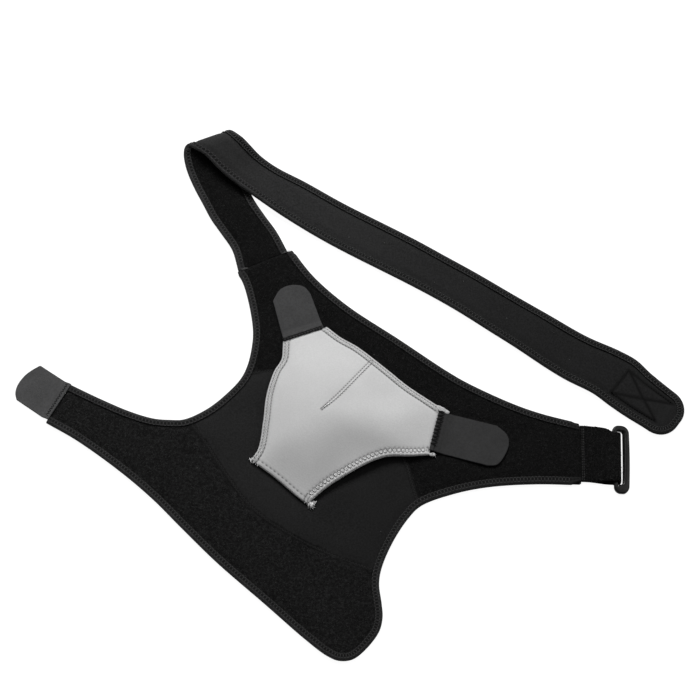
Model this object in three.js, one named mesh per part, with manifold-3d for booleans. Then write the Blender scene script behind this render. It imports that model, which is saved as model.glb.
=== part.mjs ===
// Shoulder brace for one shoulder, lying flat with its loop side up.
// Millimetres, +Z up, +X to the right and +Y away, as the brace lies on a table.
//
// A flat sheet of three sewn panels (arm, centre, chest) is bound with folded
// tape. A hook tab closes the arm end, a domed grey pad with two hook tabs of
// its own sits on the shoulder, a long bound strap leaves the upper corner and
// rolls over on itself, and a webbing loop at the right holds a plastic ring.
import * as THREE from 'three';
import { mergeVertices } from 'three/addons/utils/BufferGeometryUtils.js';
import Module from 'manifold-3d';

const wasm = await Module();
wasm.setup();

// ---------------------------------------------------------------- sizes (mm)
const GAP = 0.3;            // space kept between two touching pieces
const SHEET_T = 3.0;        // neoprene laminate
const TAPE_T = 0.7;         // binding tape
const TAPE_W = 7.5;         // how far the tape reaches in from the edge
const TAPE_CLEAR = 0.1;     // tape's underside above the table, where the panels rest
const EDGE_T = SHEET_T + 2 * (GAP + TAPE_T);   // bound edge, tape to tape
const SHEET_LOW = TAPE_T + GAP;                // sheet's underside at a bound edge
const SHEET_TOP = SHEET_LOW + SHEET_T;
const ON_SHEET = SHEET_TOP + GAP;              // where what lies on the sheet starts
const TAB_T = 1.8;          // hook tabs
const PAD_T = 3.0;          // grey pad's wall
const PAD_RISE = 21.0;      // pad's crown above its rim
const PATCH_T = 1.4;        // hook patch under the strap's end
const WEB_T = 1.7;          // webbing, one layer
const WEB_X = 226.8;        // seam of webbing and chest panel
const WEB_ROWS = [          // the webbing's two edges, from its seam to its fold
  { at: 'seam', x: 226.8, y0: -105.2, y1: -46.9 },
  { at: 'before the ring', x: 252.0, y0: -105.6, y1: -49.0 },
  { at: 'at the ring', x: 257.5, y0: -106.0, y1: -55.2 },
  { at: 'fold', x: 266.0, y0: -106.2, y1: -56.0 },
];
const BAR = { x: 260.9, z: 4.6, half: 2.2, hole: 2.9 };
const RING = { y0: -118.6, y1: -47.4, arm: 6.0, reach: 15.0, outerBar: 5.5, round: 1.3, corner: 7.5, tiltDeg: 9.8 };
const TIP_CORNER = 21.0;    // corner radius of the strap's tip
const ORIGIN = { x: -0.6, y: -9.0 };   // point of this layout that is the model's origin

// --------------------------------------------------------- edges and seams
// Each edge runs through its rows on one smooth curve.
const ARM_HOLE_EDGE = [
  { at: 'tab corner', x: -276.9, y: -3.9 },
  { at: 'arm end', x: -246.6, y: -19.1 },
  { at: 'arm end', x: -217.5, y: -32.1 },
  { at: 'low point', x: -194.5, y: -39.3 },
  { at: 'low point', x: -177.7, y: -40.8 },
  { at: 'arm seam', x: -164.0, y: -40.2 },
  { at: 'bay', x: -141.3, y: -29.0 },
  { at: 'bay', x: -122.7, y: -13.2 },
  { at: 'chest seam', x: -108.6, y: 3.2 },
  { at: 'bay', x: -102.2, y: 17.7 },
  { at: 'bay', x: -98.0, y: 38.8 },
  { at: 'widest', x: -97.3, y: 55.1 },
  { at: 'neck', x: -101.8, y: 84.4 },
  { at: 'neck', x: -108.4, y: 107.5 },
  { at: 'strap root', x: -114.4, y: 118.0 },
];
const TOP_EDGE = [
  { at: 'strap root', x: -57.6, y: 142.6 },
  { at: 'neck', x: -46.6, y: 126.3 },
  { at: 'neck', x: -32.8, y: 109.4 },
  { at: 'shoulder', x: -1.5, y: 80.9 },
  { at: 'shoulder', x: 49.5, y: 44.9 },
  { at: 'chest', x: 97.1, y: 10.7 },
  { at: 'chest', x: 117.9, y: -2.2 },
  { at: 'chest', x: 161.2, y: -23.6 },
  { at: 'chest', x: 188.7, y: -34.0 },
  { at: 'right end', x: WEB_X, y: -44.4 },
];
const LOWER_EDGE = [
  { at: 'right end', x: WEB_X, y: -109.2 },
  { at: 'chest', x: 183.0, y: -108.2 },
  { at: 'chest', x: 135.9, y: -111.2 },
  { at: 'chest', x: 101.4, y: -118.4 },
  { at: 'chest seam', x: 69.6, y: -130.7 },
  { at: 'bay', x: 57.0, y: -143.6 },
  { at: 'bay', x: 41.4, y: -168.6 },
  { at: 'arm seam', x: 30.4, y: -195.7 },
  { at: 'arm', x: 28.3, y: -211.0 },
  { at: 'arm', x: 30.6, y: -230.0 },
  { at: 'bottom', x: 31.5, y: -244.2 },
  { at: 'bottom', x: 27.7, y: -259.3 },
  { at: 'bottom', x: 12.0, y: -279.4 },
  { at: 'bottom', x: 1.4, y: -286.6 },
  { at: 'bottom', x: -11.0, y: -287.5 },
  { at: 'bottom', x: -22.6, y: -282.4 },
  { at: 'arm', x: -42.8, y: -266.6 },
  { at: 'arm', x: -82.6, y: -230.7 },
  { at: 'arm', x: -129.7, y: -188.6 },
  { at: 'arm', x: -165.4, y: -152.6 },
  { at: 'arm', x: -193.2, y: -123.9 },
  { at: 'arm', x: -225.6, y: -95.4 },
  { at: 'arm', x: -269.0, y: -63.0 },
  { at: 'tab corner', x: -300.6, y: -44.0 },
];
const ARM_SEAM = [
  { at: 'past the edge', x: -166.0, y: -33.0 },
  { at: 'edge', x: -159.8, y: -41.3 },
  { at: 'seam', x: -142.0, y: -65.5 },
  { at: 'seam', x: -127.8, y: -88.6 },
  { at: 'seam', x: -112.8, y: -111.0 },
  { at: 'seam', x: -101.2, y: -127.0 },
  { at: 'seam', x: -84.5, y: -142.5 },
  { at: 'seam', x: -61.4, y: -157.9 },
  { at: 'seam', x: -24.3, y: -178.4 },
  { at: 'seam', x: 13.6, y: -193.7 },
  { at: 'past the edge', x: 40.0, y: -200.0 },
];
const CHEST_SEAM = [
  { at: 'past the edge', x: -116.0, y: 7.4 },
  { at: 'edge', x: -103.0, y: 8.2 },
  { at: 'seam', x: -89.6, y: 9.5 },
  { at: 'pad edge', x: -77.7, y: 10.6 },
  { at: 'under pad', x: -39.8, y: -0.9 },
  { at: 'under pad', x: 9.9, y: -35.0 },
  { at: 'under pad', x: 41.4, y: -65.5 },
  { at: 'pad edge', x: 55.1, y: -87.0 },
  { at: 'seam', x: 59.9, y: -104.2 },
  { at: 'seam', x: 64.2, y: -119.8 },
  { at: 'past the edge', x: 71.0, y: -141.0 },
];

// Hook tabs: straight sides, a round end, and a foot that is sewn on.
const ARM_TAB = [
  { at: 'foot', x: -277.9, y: -3.4, round: false },
  { at: 'side', x: -309.0, y: 17.8, round: true },
  { at: 'end', x: -317.5, y: 12.4, round: true },
  { at: 'end', x: -324.2, y: 6.6, round: true },
  { at: 'end', x: -330.8, y: -3.4, round: true },
  { at: 'end', x: -332.6, y: -12.0, round: true },
  { at: 'side', x: -331.2, y: -18.8, round: true },
  { at: 'side', x: -303.6, y: -38.2, round: false },
  { at: 'foot', x: -299.6, y: -40.9, round: false },
];
const TOP_TAB = [
  { at: 'foot', x: -66.6, y: 43.1, round: false },
  { at: 'side', x: -77.4, y: 86.0, round: true },
  { at: 'end', x: -69.4, y: 99.1, round: true },
  { at: 'end', x: -56.8, y: 103.4, round: true },
  { at: 'end', x: -46.3, y: 101.3, round: true },
  { at: 'side', x: -39.7, y: 93.6, round: true },
  { at: 'foot', x: -26.9, y: 57.1, round: false },
];
const SIDE_TAB = [
  { at: 'foot', x: 89.6, y: -33.4, round: false },
  { at: 'side', x: 101.4, y: -36.5, round: false },
  { at: 'side', x: 145.2, y: -48.1, round: true },
  { at: 'end', x: 154.9, y: -57.6, round: true },
  { at: 'end', x: 156.7, y: -67.1, round: true },
  { at: 'end', x: 151.5, y: -80.7, round: true },
  { at: 'end', x: 144.5, y: -89.0, round: true },
  { at: 'side', x: 135.6, y: -90.1, round: true },
  { at: 'foot', x: 84.7, y: -75.9, round: false },
  { at: 'foot', x: 79.3, y: -74.6, round: false },
];

// Grey pad: its sides in order round the rim. lift is how far the middle of a
// side stands off the sheet; a sewn side has none.
const PAD_CENTRE = { x: -30, y: -42 };
const PAD_SIDES = [
  { at: 'top end, sewn to its tab', lift: 0.0, rows: [
    { x: -66.9, y: 42.3 }, { x: -23.4, y: 57.6 }] },
  { at: 'upper right, free', lift: 0.8, rows: [
    { x: -23.4, y: 57.6 }, { x: -10.0, y: 46.2 }, { x: 8.0, y: 35.0 }, { x: 37.0, y: 11.0 },
    { x: 56.8, y: -6.2 }, { x: 78.0, y: -21.2 }, { x: 89.1, y: -28.8 }] },
  { at: 'right end, sewn to its tab', lift: 0.0, rows: [
    { x: 89.1, y: -33.4 }, { x: 78.7, y: -75.4 }] },
  { at: 'lower right, free', lift: 5.0, rows: [
    { x: 78.7, y: -78.9 }, { x: 60.0, y: -80.9 }, { x: 37.4, y: -82.0 }, { x: 21.6, y: -87.2 },
    { x: -2.9, y: -100.8 }, { x: -23.5, y: -114.3 }, { x: -38.1, y: -126.7 }] },
  { at: 'lower left, sewn down', lift: 0.0, rows: [
    { x: -38.1, y: -131.9 }, { x: -48.2, y: -125.2 }, { x: -73.6, y: -102.8 }, { x: -97.6, y: -84.1 }] },
  { at: 'left, free', lift: 0.6, rows: [
    { x: -97.6, y: -84.1 }, { x: -90.6, y: -73.2 }, { x: -86.0, y: -45.2 }, { x: -83.3, y: -18.8 },
    { x: -79.5, y: -2.8 }, { x: -75.1, y: 10.0 }, { x: -68.3, y: 21.8 }, { x: -67.2, y: 32.6 }, { x: -66.9, y: 42.3 }] },
];

// Strap: a row for each section, with its left (l) and right (r) edge at
// mid-thickness. The left edge of the short leg becomes the near edge of the
// long leg once the strap has rolled over at the crest.
const STRAP_ROWS = [
  { at: 'root', lx: -112.7, ly: 119.2, lz: 2.6, rx: -66.7, ry: 139.1, rz: 2.6 },
  { at: 'short leg', lx: -119.4, ly: 143.0, lz: 2.6, rx: -75.6, ry: 162.7, rz: 2.6 },
  { at: 'short leg', lx: -131.0, ly: 161.5, lz: 2.6, rx: -87.0, ry: 181.8, rz: 2.6 },
  { at: 'short leg', lx: -141.3, ly: 177.1, lz: 2.6, rx: -97.4, ry: 198.4, rz: 2.6 },
  { at: 'under the long leg', lx: -150.4, ly: 195.0, lz: 2.6, rx: -105.8, ry: 217.0, rz: 2.6 },
  { at: 'under the long leg', lx: -158.9, ly: 211.8, lz: 2.7, rx: -112.8, ry: 232.7, rz: 2.7 },
  { at: 'rising', lx: -165.5, ly: 226.9, lz: 4.2, rx: -119.1, ry: 246.7, rz: 4.2 },
  { at: 'rising', lx: -169.0, ly: 238.2, lz: 6.5, rx: -123.0, ry: 255.6, rz: 7.0 },
  { at: 'foot of the crest', lx: -170.3, ly: 247.0, lz: 9.5, rx: -125.5, ry: 262.1, rz: 11.0 },
  { at: 'crest', lx: -169.2, ly: 252.1, lz: 13.0, rx: -125.3, ry: 267.2, rz: 16.0 },
  { at: 'top of the crest', lx: -164.3, ly: 253.1, lz: 16.0, rx: -120.0, ry: 267.2, rz: 22.0 },
  { at: 'rolled over', lx: -157.3, ly: 248.9, lz: 17.2, rx: -113.8, ry: 262.8, rz: 24.0 },
  { at: 'rolled over', lx: -147.5, ly: 242.5, lz: 16.5, rx: -108.6, ry: 258.9, rz: 23.0 },
  { at: 'rolled over', lx: -134.6, ly: 229.0, lz: 14.0, rx: -101.3, ry: 252.3, rz: 19.0 },
  { at: 'over the short leg', lx: -117.2, ly: 213.8, lz: 11.6, rx: -91.4, ry: 244.3, rz: 11.5 },
  { at: 'over the short leg', lx: -98.2, ly: 200.1, lz: 9.8, rx: -75.1, ry: 233.8, rz: 6.0 },
  { at: 'coming down', lx: -66.2, ly: 177.7, lz: 6.2, rx: -45.5, ry: 218.2, rz: 3.4 },
  { at: 'coming down', lx: -26.9, ly: 153.0, lz: 3.6, rx: -7.0, ry: 195.0, rz: 2.6 },
  { at: 'long leg', lx: 27.8, ly: 122.2, lz: 2.6, rx: 50.3, ry: 163.2, rz: 2.6 },
  { at: 'long leg', lx: 83.0, ly: 91.4, lz: 2.6, rx: 104.7, ry: 130.9, rz: 2.6 },
  { at: 'long leg', lx: 147.3, ly: 48.6, lz: 2.6, rx: 171.5, ry: 89.3, rz: 2.6 },
  { at: 'long leg', lx: 212.5, ly: 3.1, lz: 2.8, rx: 238.6, ry: 47.1, rz: 2.8 },
  { at: 'over the patch', lx: 241.7, ly: -13.5, lz: 3.3, rx: 269.0, ry: 32.5, rz: 3.3 },
  { at: 'over the patch', lx: 257.0, ly: -25.6, lz: 3.3, rx: 285.6, ry: 22.6, rz: 3.3 },
  { at: 'over the patch', lx: 272.0, ly: -36.8, lz: 3.3, rx: 300.0, ry: 7.8, rz: 3.3 },
  { at: 'over the patch', lx: 294.6, ly: -52.1, lz: 3.3, rx: 323.2, ry: -12.9, rz: 3.3 },
  { at: 'end line', lx: 310.4, ly: -65.2, lz: 3.3, rx: 339.6, ry: -26.0, rz: 3.3 },
];
const PATCH = { from: 82, to: 22, half: 16.3 };   // distances back from the end line, half width

// --------------------------------------------------------------- materials
const COLOURS = {
  loop: { color: 0x161618, roughness: 1.0 },
  jersey: { color: 0x202224, roughness: 0.9 },
  tape: { color: 0x2b2c2e, roughness: 0.85 },
  hook: { color: 0x46474a, roughness: 0.8 },
  grey: { color: 0xb9babc, roughness: 0.85 },
  plastic: { color: 0x0c0c0d, roughness: 0.3 },
};
const material = (kind) => new THREE.MeshStandardMaterial({ metalness: 0, ...COLOURS[kind] });

// ------------------------------------------------------------ plane helpers
const sub = (a, b) => [a[0] - b[0], a[1] - b[1]];
const unit = (v) => { const l = Math.hypot(...v); return v.map((c) => c / l); };
const left = (v) => [-v[1], v[0]];

// Keeps the points a polyline needs to stay within tol of itself.
function thin(points, tol) {
  const keep = new Set([0, points.length - 1]);
  const stack = [[0, points.length - 1]];
  while (stack.length) {
    const [i, j] = stack.pop();
    const a = points[i], d = sub(points[j], a), l = Math.hypot(...d) || 1e-9;
    let worst = -1, far = tol;
    for (let k = i + 1; k < j; k++) {
      const q = sub(points[k], a);
      const off = Math.abs(d[0] * q[1] - d[1] * q[0]) / l;
      if (off > far) { far = off; worst = k; }
    }
    if (worst > 0) { keep.add(worst); stack.push([i, worst], [worst, j]); }
  }
  return [...keep].sort((a, b) => a - b).map((k) => points[k]);
}

// A smooth curve through a table's rows, thinned to what its bends need.
function smooth(rows, tol = 0.3) {
  const curve = new THREE.CatmullRomCurve3(rows.map((r) => new THREE.Vector3(r.x, r.y, 0)), false, 'centripetal');
  return thin(curve.getPoints((rows.length - 1) * 24).map((p) => [p.x, p.y]), tol);
}

// A tab's outline: rows marked round share one smooth arc, the rest are corners.
function tabOutline(rows, tol = 0.25) {
  const out = [];
  let run = [];
  const flush = () => { if (run.length) { out.push(...smooth(run, tol)); run = []; } };
  for (const r of rows) {
    if (r.round) run.push(r);
    else { flush(); out.push([r.x, r.y]); }
  }
  flush();
  return out;
}

// Moves every side of a closed outline inward by its own distance. The outline
// runs clockwise, so inward is to the right of each side.
function inset(points, distances) {
  const n = points.length;
  const lines = points.map((p, i) => {
    const d = unit(sub(points[(i + 1) % n], p));
    const o = left(d).map((c) => -c * distances[i]);
    return { p: [p[0] + o[0], p[1] + o[1]], d };
  });
  return points.map((p, i) => {
    const a = lines[(i - 1 + n) % n], b = lines[i];
    const cross = a.d[0] * b.d[1] - a.d[1] * b.d[0];
    if (Math.abs(cross) < 1e-3) return b.p;
    const w = sub(b.p, a.p);
    const t = (w[0] * b.d[1] - w[1] * b.d[0]) / cross;
    return [a.p[0] + a.d[0] * t, a.p[1] + a.d[1] * t];
  });
}

// ------------------------------------------------------------ solid helpers
function indexed(geometry) {
  geometry.deleteAttribute('normal');
  geometry.deleteAttribute('uv');
  return mergeVertices(geometry, 1e-4);
}

// Turns a closed mesh so that its faces look outward, and gives it normals.
function finish(geometry) {
  const p = geometry.attributes.position, ix = geometry.index;
  let six = 0;
  const a = new THREE.Vector3(), b = new THREE.Vector3(), c = new THREE.Vector3();
  for (let i = 0; i < ix.count; i += 3) {
    a.fromBufferAttribute(p, ix.getX(i)); b.fromBufferAttribute(p, ix.getX(i + 1)); c.fromBufferAttribute(p, ix.getX(i + 2));
    six += a.dot(b.cross(c));
  }
  if (six < 0) {
    for (let i = 0; i < ix.count; i += 3) {
      const t = ix.getX(i + 1);
      ix.setX(i + 1, ix.getX(i + 2));
      ix.setX(i + 2, t);
    }
  }
  geometry.computeVertexNormals();
  return geometry;
}

function meshFrom(points, triangles) {
  const g = new THREE.BufferGeometry();
  g.setAttribute('position', new THREE.Float32BufferAttribute(points.flat(), 3));
  g.setIndex(triangles.flat());
  return finish(g);
}

// An outline standing from z0 to z1.
function slab(outline, z0, z1) {
  const g = new THREE.ExtrudeGeometry(new THREE.Shape(outline.map(([x, y]) => new THREE.Vector2(x, y))),
    { depth: z1 - z0, bevelEnabled: false, curveSegments: 1 });
  g.translate(0, 0, z0);
  return finish(indexed(g));
}

const toSolid = (g) => new wasm.Manifold(new wasm.Mesh({
  numProp: 3,
  vertProperties: new Float32Array(g.attributes.position.array),
  triVerts: new Uint32Array(g.index.array),
}));
function fromSolid(solid) {
  const m = solid.getMesh();
  const g = new THREE.BufferGeometry();
  const pos = new Float32Array(m.numVert * 3);
  for (let i = 0; i < m.numVert; i++) for (let k = 0; k < 3; k++) pos[3 * i + k] = m.vertProperties[i * m.numProp + k];
  g.setAttribute('position', new THREE.BufferAttribute(pos, 3));
  g.setIndex([...m.triVerts]);
  return finish(g);
}

// Carries a closed section along stations. Each station has a point p and two
// directions: u, outward, and v, up off the sheet.
function sweep(stations, section) {
  const n = section.length;
  const points = [], triangles = [];
  for (const s of stations) {
    for (const [a, b] of section) {
      points.push([0, 1, 2].map((k) => s.p[k] + a * s.u[k] + b * s.v[k]));
    }
  }
  for (let i = 0; i + 1 < stations.length; i++) {
    for (let j = 0; j < n; j++) {
      const a = i * n + j, b = i * n + (j + 1) % n, c = a + n, d = b + n;
      triangles.push([a, b, d], [a, d, c]);
    }
  }
  const caps = THREE.ShapeUtils.triangulateShape(section.map(([a, b]) => new THREE.Vector2(a, b)), []);
  const last = (stations.length - 1) * n;
  for (const [a, b, c] of caps) triangles.push([a, c, b], [last + a, last + b, last + c]);
  return meshFrom(points, triangles);
}

// Folded tape seen on its cut end: open towards the sheet, round the edge.
const TAPE_SECTION = (() => {
  const h = EDGE_T / 2, c = 0.6;
  return [[-TAPE_W, -h], [-c, -h], [0, -h + c], [0, h - c], [-c, h], [-TAPE_W, h],
    [-TAPE_W, h - TAPE_T], [-TAPE_T, h - TAPE_T], [-TAPE_T, -h + TAPE_T], [-TAPE_W, -h + TAPE_T]];
})();

// ------------------------------------------------------------ the sheet
const armHole = smooth(ARM_HOLE_EDGE);
const topEdge = smooth(TOP_EDGE);
const lowerEdge = smooth(LOWER_EDGE);
const outline = [...armHole, ...topEdge, ...lowerEdge];
const ends = new Set([armHole.length - 1, armHole.length + topEdge.length - 1, outline.length - 1]);

const boundInset = (d, atEnds) => inset(outline, outline.map((_, i) => (ends.has(i) ? atEnds : d)));
let sheet = toSolid(slab(boundInset(SHEET_LOW, 0), SHEET_LOW, SHEET_TOP))
  .add(toSolid(slab(boundInset(TAPE_W + GAP, 0.5), 0, SHEET_LOW + 1)));

// A thin blade along each seam parts the sheet into its panels.
function blade(rows) {
  const path = smooth(rows);
  const side = (sign) => path.map((p, i) => {
    const d = unit(sub(path[Math.min(i + 1, path.length - 1)], path[Math.max(i - 1, 0)]));
    const o = left(d);
    return [p[0] + sign * o[0] * GAP / 2, p[1] + sign * o[1] * GAP / 2];
  });
  return toSolid(slab([...side(1), ...side(-1).reverse()], -1, SHEET_TOP + 1));
}
sheet = sheet.subtract(blade(ARM_SEAM)).subtract(blade(CHEST_SEAM));
const panels = sheet.decompose().map((s) => ({ s, box: s.boundingBox() }));
const byLeft = (a, b) => a.box.min[0] - b.box.min[0];
panels.sort(byLeft);
const [armPanel, centrePanel, chestPanel] = panels.map((q) => fromSolid(q.s));

// Tape along one edge of the sheet, its two ends cut along the sheet's ends.
function edgeTape(path, startLine, endLine) {
  const stations = path.map((p, i) => {
    const a = i > 0 ? unit(sub(p, path[i - 1])) : null;
    const b = i + 1 < path.length ? unit(sub(path[i + 1], p)) : null;
    const na = left(a ?? b), nb = left(b ?? a);
    let u = [na[0] + nb[0], na[1] + nb[1]];
    const line = i === 0 ? startLine : (i === path.length - 1 ? endLine : null);
    if (line) u = line;
    const k = u[0] * na[0] + u[1] * na[1];
    return { p: [...p, EDGE_T / 2 + TAPE_CLEAR], u: [u[0] / k, u[1] / k, 0], v: [0, 0, 1] };
  });
  return sweep(stations, TAPE_SECTION);
}
const tabLine = unit(sub(armHole[0], lowerEdge.at(-1)));
const rootLine = unit(sub(topEdge[0], armHole.at(-1)));
const endLine = unit(sub(topEdge.at(-1), lowerEdge[0]));

// ------------------------------------------------------------ the strap
const edgeCurve = (k) => new THREE.CatmullRomCurve3(
  STRAP_ROWS.map((r) => new THREE.Vector3(r[k + 'x'], r[k + 'y'], r[k + 'z'])), false, 'centripetal');
const FINE = 24;
const leftEdge = edgeCurve('l').getPoints((STRAP_ROWS.length - 1) * FINE);
const rightEdge = edgeCurve('r').getPoints((STRAP_ROWS.length - 1) * FINE);
const spine = leftEdge.map((l, i) => ({
  c: l.clone().add(rightEdge[i]).multiplyScalar(0.5),
  w: rightEdge[i].clone().sub(l),
}));
let run = 0;
spine.forEach((s, i) => {
  s.half = s.w.length() / 2;
  s.w.normalize();
  if (i) run += s.c.distanceTo(spine[i - 1].c);
  s.a = run;
});
spine.forEach((s, i) => {
  const t = spine[Math.min(i + 1, spine.length - 1)].c.clone().sub(spine[Math.max(i - 1, 0)].c).normalize();
  s.n = s.w.clone().cross(t).normalize();
});
const STRAP_LENGTH = run;

// The strap's frame at a distance along it.
function strapFrame(a) {
  let i = 1;
  while (i < spine.length - 1 && spine[i].a < a) i++;
  const p = spine[i - 1], q = spine[i], f = (a - p.a) / (q.a - p.a);
  const mix = (k) => p[k].clone().lerp(q[k], f);
  return { c: mix('c'), w: mix('w').normalize(), n: mix('n').normalize(), half: p.half + (q.half - p.half) * f };
}
// A point of the strap from its place along, across and off the mid-surface.
function onStrap(a, b, n) {
  const f = strapFrame(a);
  return f.c.addScaledVector(f.w, b).addScaledVector(f.n, n).toArray();
}
// Half the strap's width where a border d wide is taken off all round.
function strapHalf(a, d) {
  const r = TIP_CORNER - d;
  const e = STRAP_LENGTH - d - a;
  const cut = e < r ? r - Math.sqrt(Math.max(0, r * r - (r - e) ** 2)) : 0;
  return strapFrame(Math.min(a, STRAP_LENGTH)).half - d - cut;
}
// Distances along the strap, closer where it bends and at the round tip.
function strapStations(start, d) {
  const marks = [start];
  let last = strapFrame(start);
  for (let a = start + 1.5; a < STRAP_LENGTH - d - TIP_CORNER - 3; a += 1.5) {
    const f = strapFrame(a);
    if (f.n.angleTo(last.n) > 0.12 || f.w.angleTo(last.w) > 0.05 || a - marks.at(-1) > 42) { marks.push(a); last = f; }
  }
  const r = TIP_CORNER - d, end = STRAP_LENGTH - d;
  for (let k = 0; k <= 5; k++) marks.push(end - r * (1 - Math.sin((k / 5) * Math.PI / 2)));
  return marks;
}
function strapSlab(start, d, n0, n1) {
  const stations = strapStations(start, d);
  const points = [], triangles = [];
  for (const a of stations) {
    const h = strapHalf(a, d), i = h * 0.62;
    for (const [b, n] of [[-h, n0], [-i, n0], [i, n0], [h, n0], [h, n1], [i, n1], [-i, n1], [-h, n1]]) points.push(onStrap(a, b, n));
  }
  const m = 8;
  for (let k = 0; k + 1 < stations.length; k++) {
    for (let j = 0; j < m; j++) {
      const p = k * m + j, q = k * m + (j + 1) % m;
      triangles.push([p, q, q + m], [p, q + m, p + m]);
    }
  }
  const e = (stations.length - 1) * m;
  for (const [a, b, c] of [[0, 1, 7], [1, 6, 7], [1, 2, 6], [2, 5, 6], [2, 3, 5], [3, 4, 5]]) {
    triangles.push([a, c, b], [e + a, e + b, e + c]);
  }
  return meshFrom(points, triangles);
}
// Tape up one edge of the strap, round its tip and back down the other.
function strapTape(start) {
  const marks = strapStations(start, 0);
  const tip = marks.at(-1);
  const path = [...marks.map((a) => [a, -strapHalf(a, 0)]), ...marks.slice().reverse().map((a) => [a, strapHalf(a, 0)])];
  const n = path.length;
  const stations = path.map((p, i) => {
    const a = i > 0 ? unit(sub(p, path[i - 1])) : null;
    const b = i + 1 < n ? unit(sub(path[i + 1], p)) : null;
    const na = left(a ?? b).map((c) => -c), nb = left(b ?? a).map((c) => -c);
    let u = [na[0] + nb[0], na[1] + nb[1]];
    if (i === 0) u = [0, -1];
    if (i === n - 1) u = [0, 1];
    const k = u[0] * na[0] + u[1] * na[1];
    return { p, u: [u[0] / k, u[1] / k] };
  });
  const points = [], triangles = [], m = TAPE_SECTION.length;
  for (const s of stations) {
    for (const [o, v] of TAPE_SECTION) points.push(onStrap(Math.min(s.p[0] + o * s.u[0], tip), s.p[1] + o * s.u[1], v));
  }
  for (let i = 0; i + 1 < n; i++) {
    for (let j = 0; j < m; j++) {
      const p = i * m + j, q = i * m + (j + 1) % m;
      triangles.push([p, q, q + m], [p, q + m, p + m]);
    }
  }
  const caps = THREE.ShapeUtils.triangulateShape(TAPE_SECTION.map(([a, b]) => new THREE.Vector2(a, b)), []);
  const e = (n - 1) * m;
  for (const [a, b, c] of caps) triangles.push([a, c, b], [e + a, e + b, e + c]);
  return meshFrom(points, triangles);
}
// Plain hook patch on the strap's loop face, which lies against the table.
function hookPatch() {
  const out = [];
  for (const [a, b] of [[PATCH.from, -1], [PATCH.from, 1], [PATCH.to, 1], [PATCH.to, -1]]) {
    const [x, y] = onStrap(STRAP_LENGTH - a, b * PATCH.half, 0);
    out.push([x, y]);
  }
  return slab(out, 0.05, 0.05 + PATCH_T);
}

// ------------------------------------------------------------ the grey pad
function greyPad() {
  const rim = [];
  for (const side of PAD_SIDES) {
    const path = smooth(side.rows, 0.25);
    const total = path.reduce((s, p, i) => s + (i ? Math.hypot(...sub(p, path[i - 1])) : 0), 0);
    let d = 0;
    path.forEach((p, i) => {
      if (i) {
        const q = path[i - 1], l = Math.hypot(...sub(p, q)), parts = Math.max(1, Math.round(l / 9));
        for (let k = 1; k <= parts; k++) {
          const f = k / parts;
          rim.push({ x: q[0] + (p[0] - q[0]) * f, y: q[1] + (p[1] - q[1]) * f, lift: side.lift * Math.sin(Math.PI * (d + l * f) / total) });
        }
        d += l;
      } else rim.push({ x: p[0], y: p[1], lift: 0 });
    });
  }
  // Neighbouring sides share their corner where the rim is unbroken.
  const loop = rim.filter((p, i) => Math.hypot(p.x - rim[(i + 1) % rim.length].x, p.y - rim[(i + 1) % rim.length].y) > 0.05);
  const rings = [1, 0.9, 0.78, 0.64, 0.5, 0.34, 0.18];
  const n = loop.length, m = rings.length, c = PAD_CENTRE;
  const dome = (t, lift) => lift * t ** 3 + PAD_RISE * (1 - t * t) ** 1.35;
  const points = [], triangles = [];
  for (const top of [1, 0]) {
    for (const t of rings) {
      for (const p of loop) points.push([c.x + (p.x - c.x) * t, c.y + (p.y - c.y) * t, ON_SHEET + top * PAD_T + dome(t, p.lift)]);
    }
    points.push([c.x, c.y, ON_SHEET + top * PAD_T + PAD_RISE]);
  }
  const low = n * m + 1;
  for (let i = 0; i < n; i++) {
    const j = (i + 1) % n;
    for (let k = 0; k + 1 < m; k++) {
      const a = k * n + i, b = k * n + j;
      triangles.push([a, a + n, b + n], [a, b + n, b], [low + a, low + b + n, low + a + n], [low + a, low + b, low + b + n]);
    }
    const a = (m - 1) * n + i, b = (m - 1) * n + j;
    triangles.push([a, n * m, b], [low + a, low + b, low + n * m]);
    triangles.push([i, j, low + j], [i, low + j, low + i]);
  }
  return meshFrom(points, triangles);
}

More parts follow.
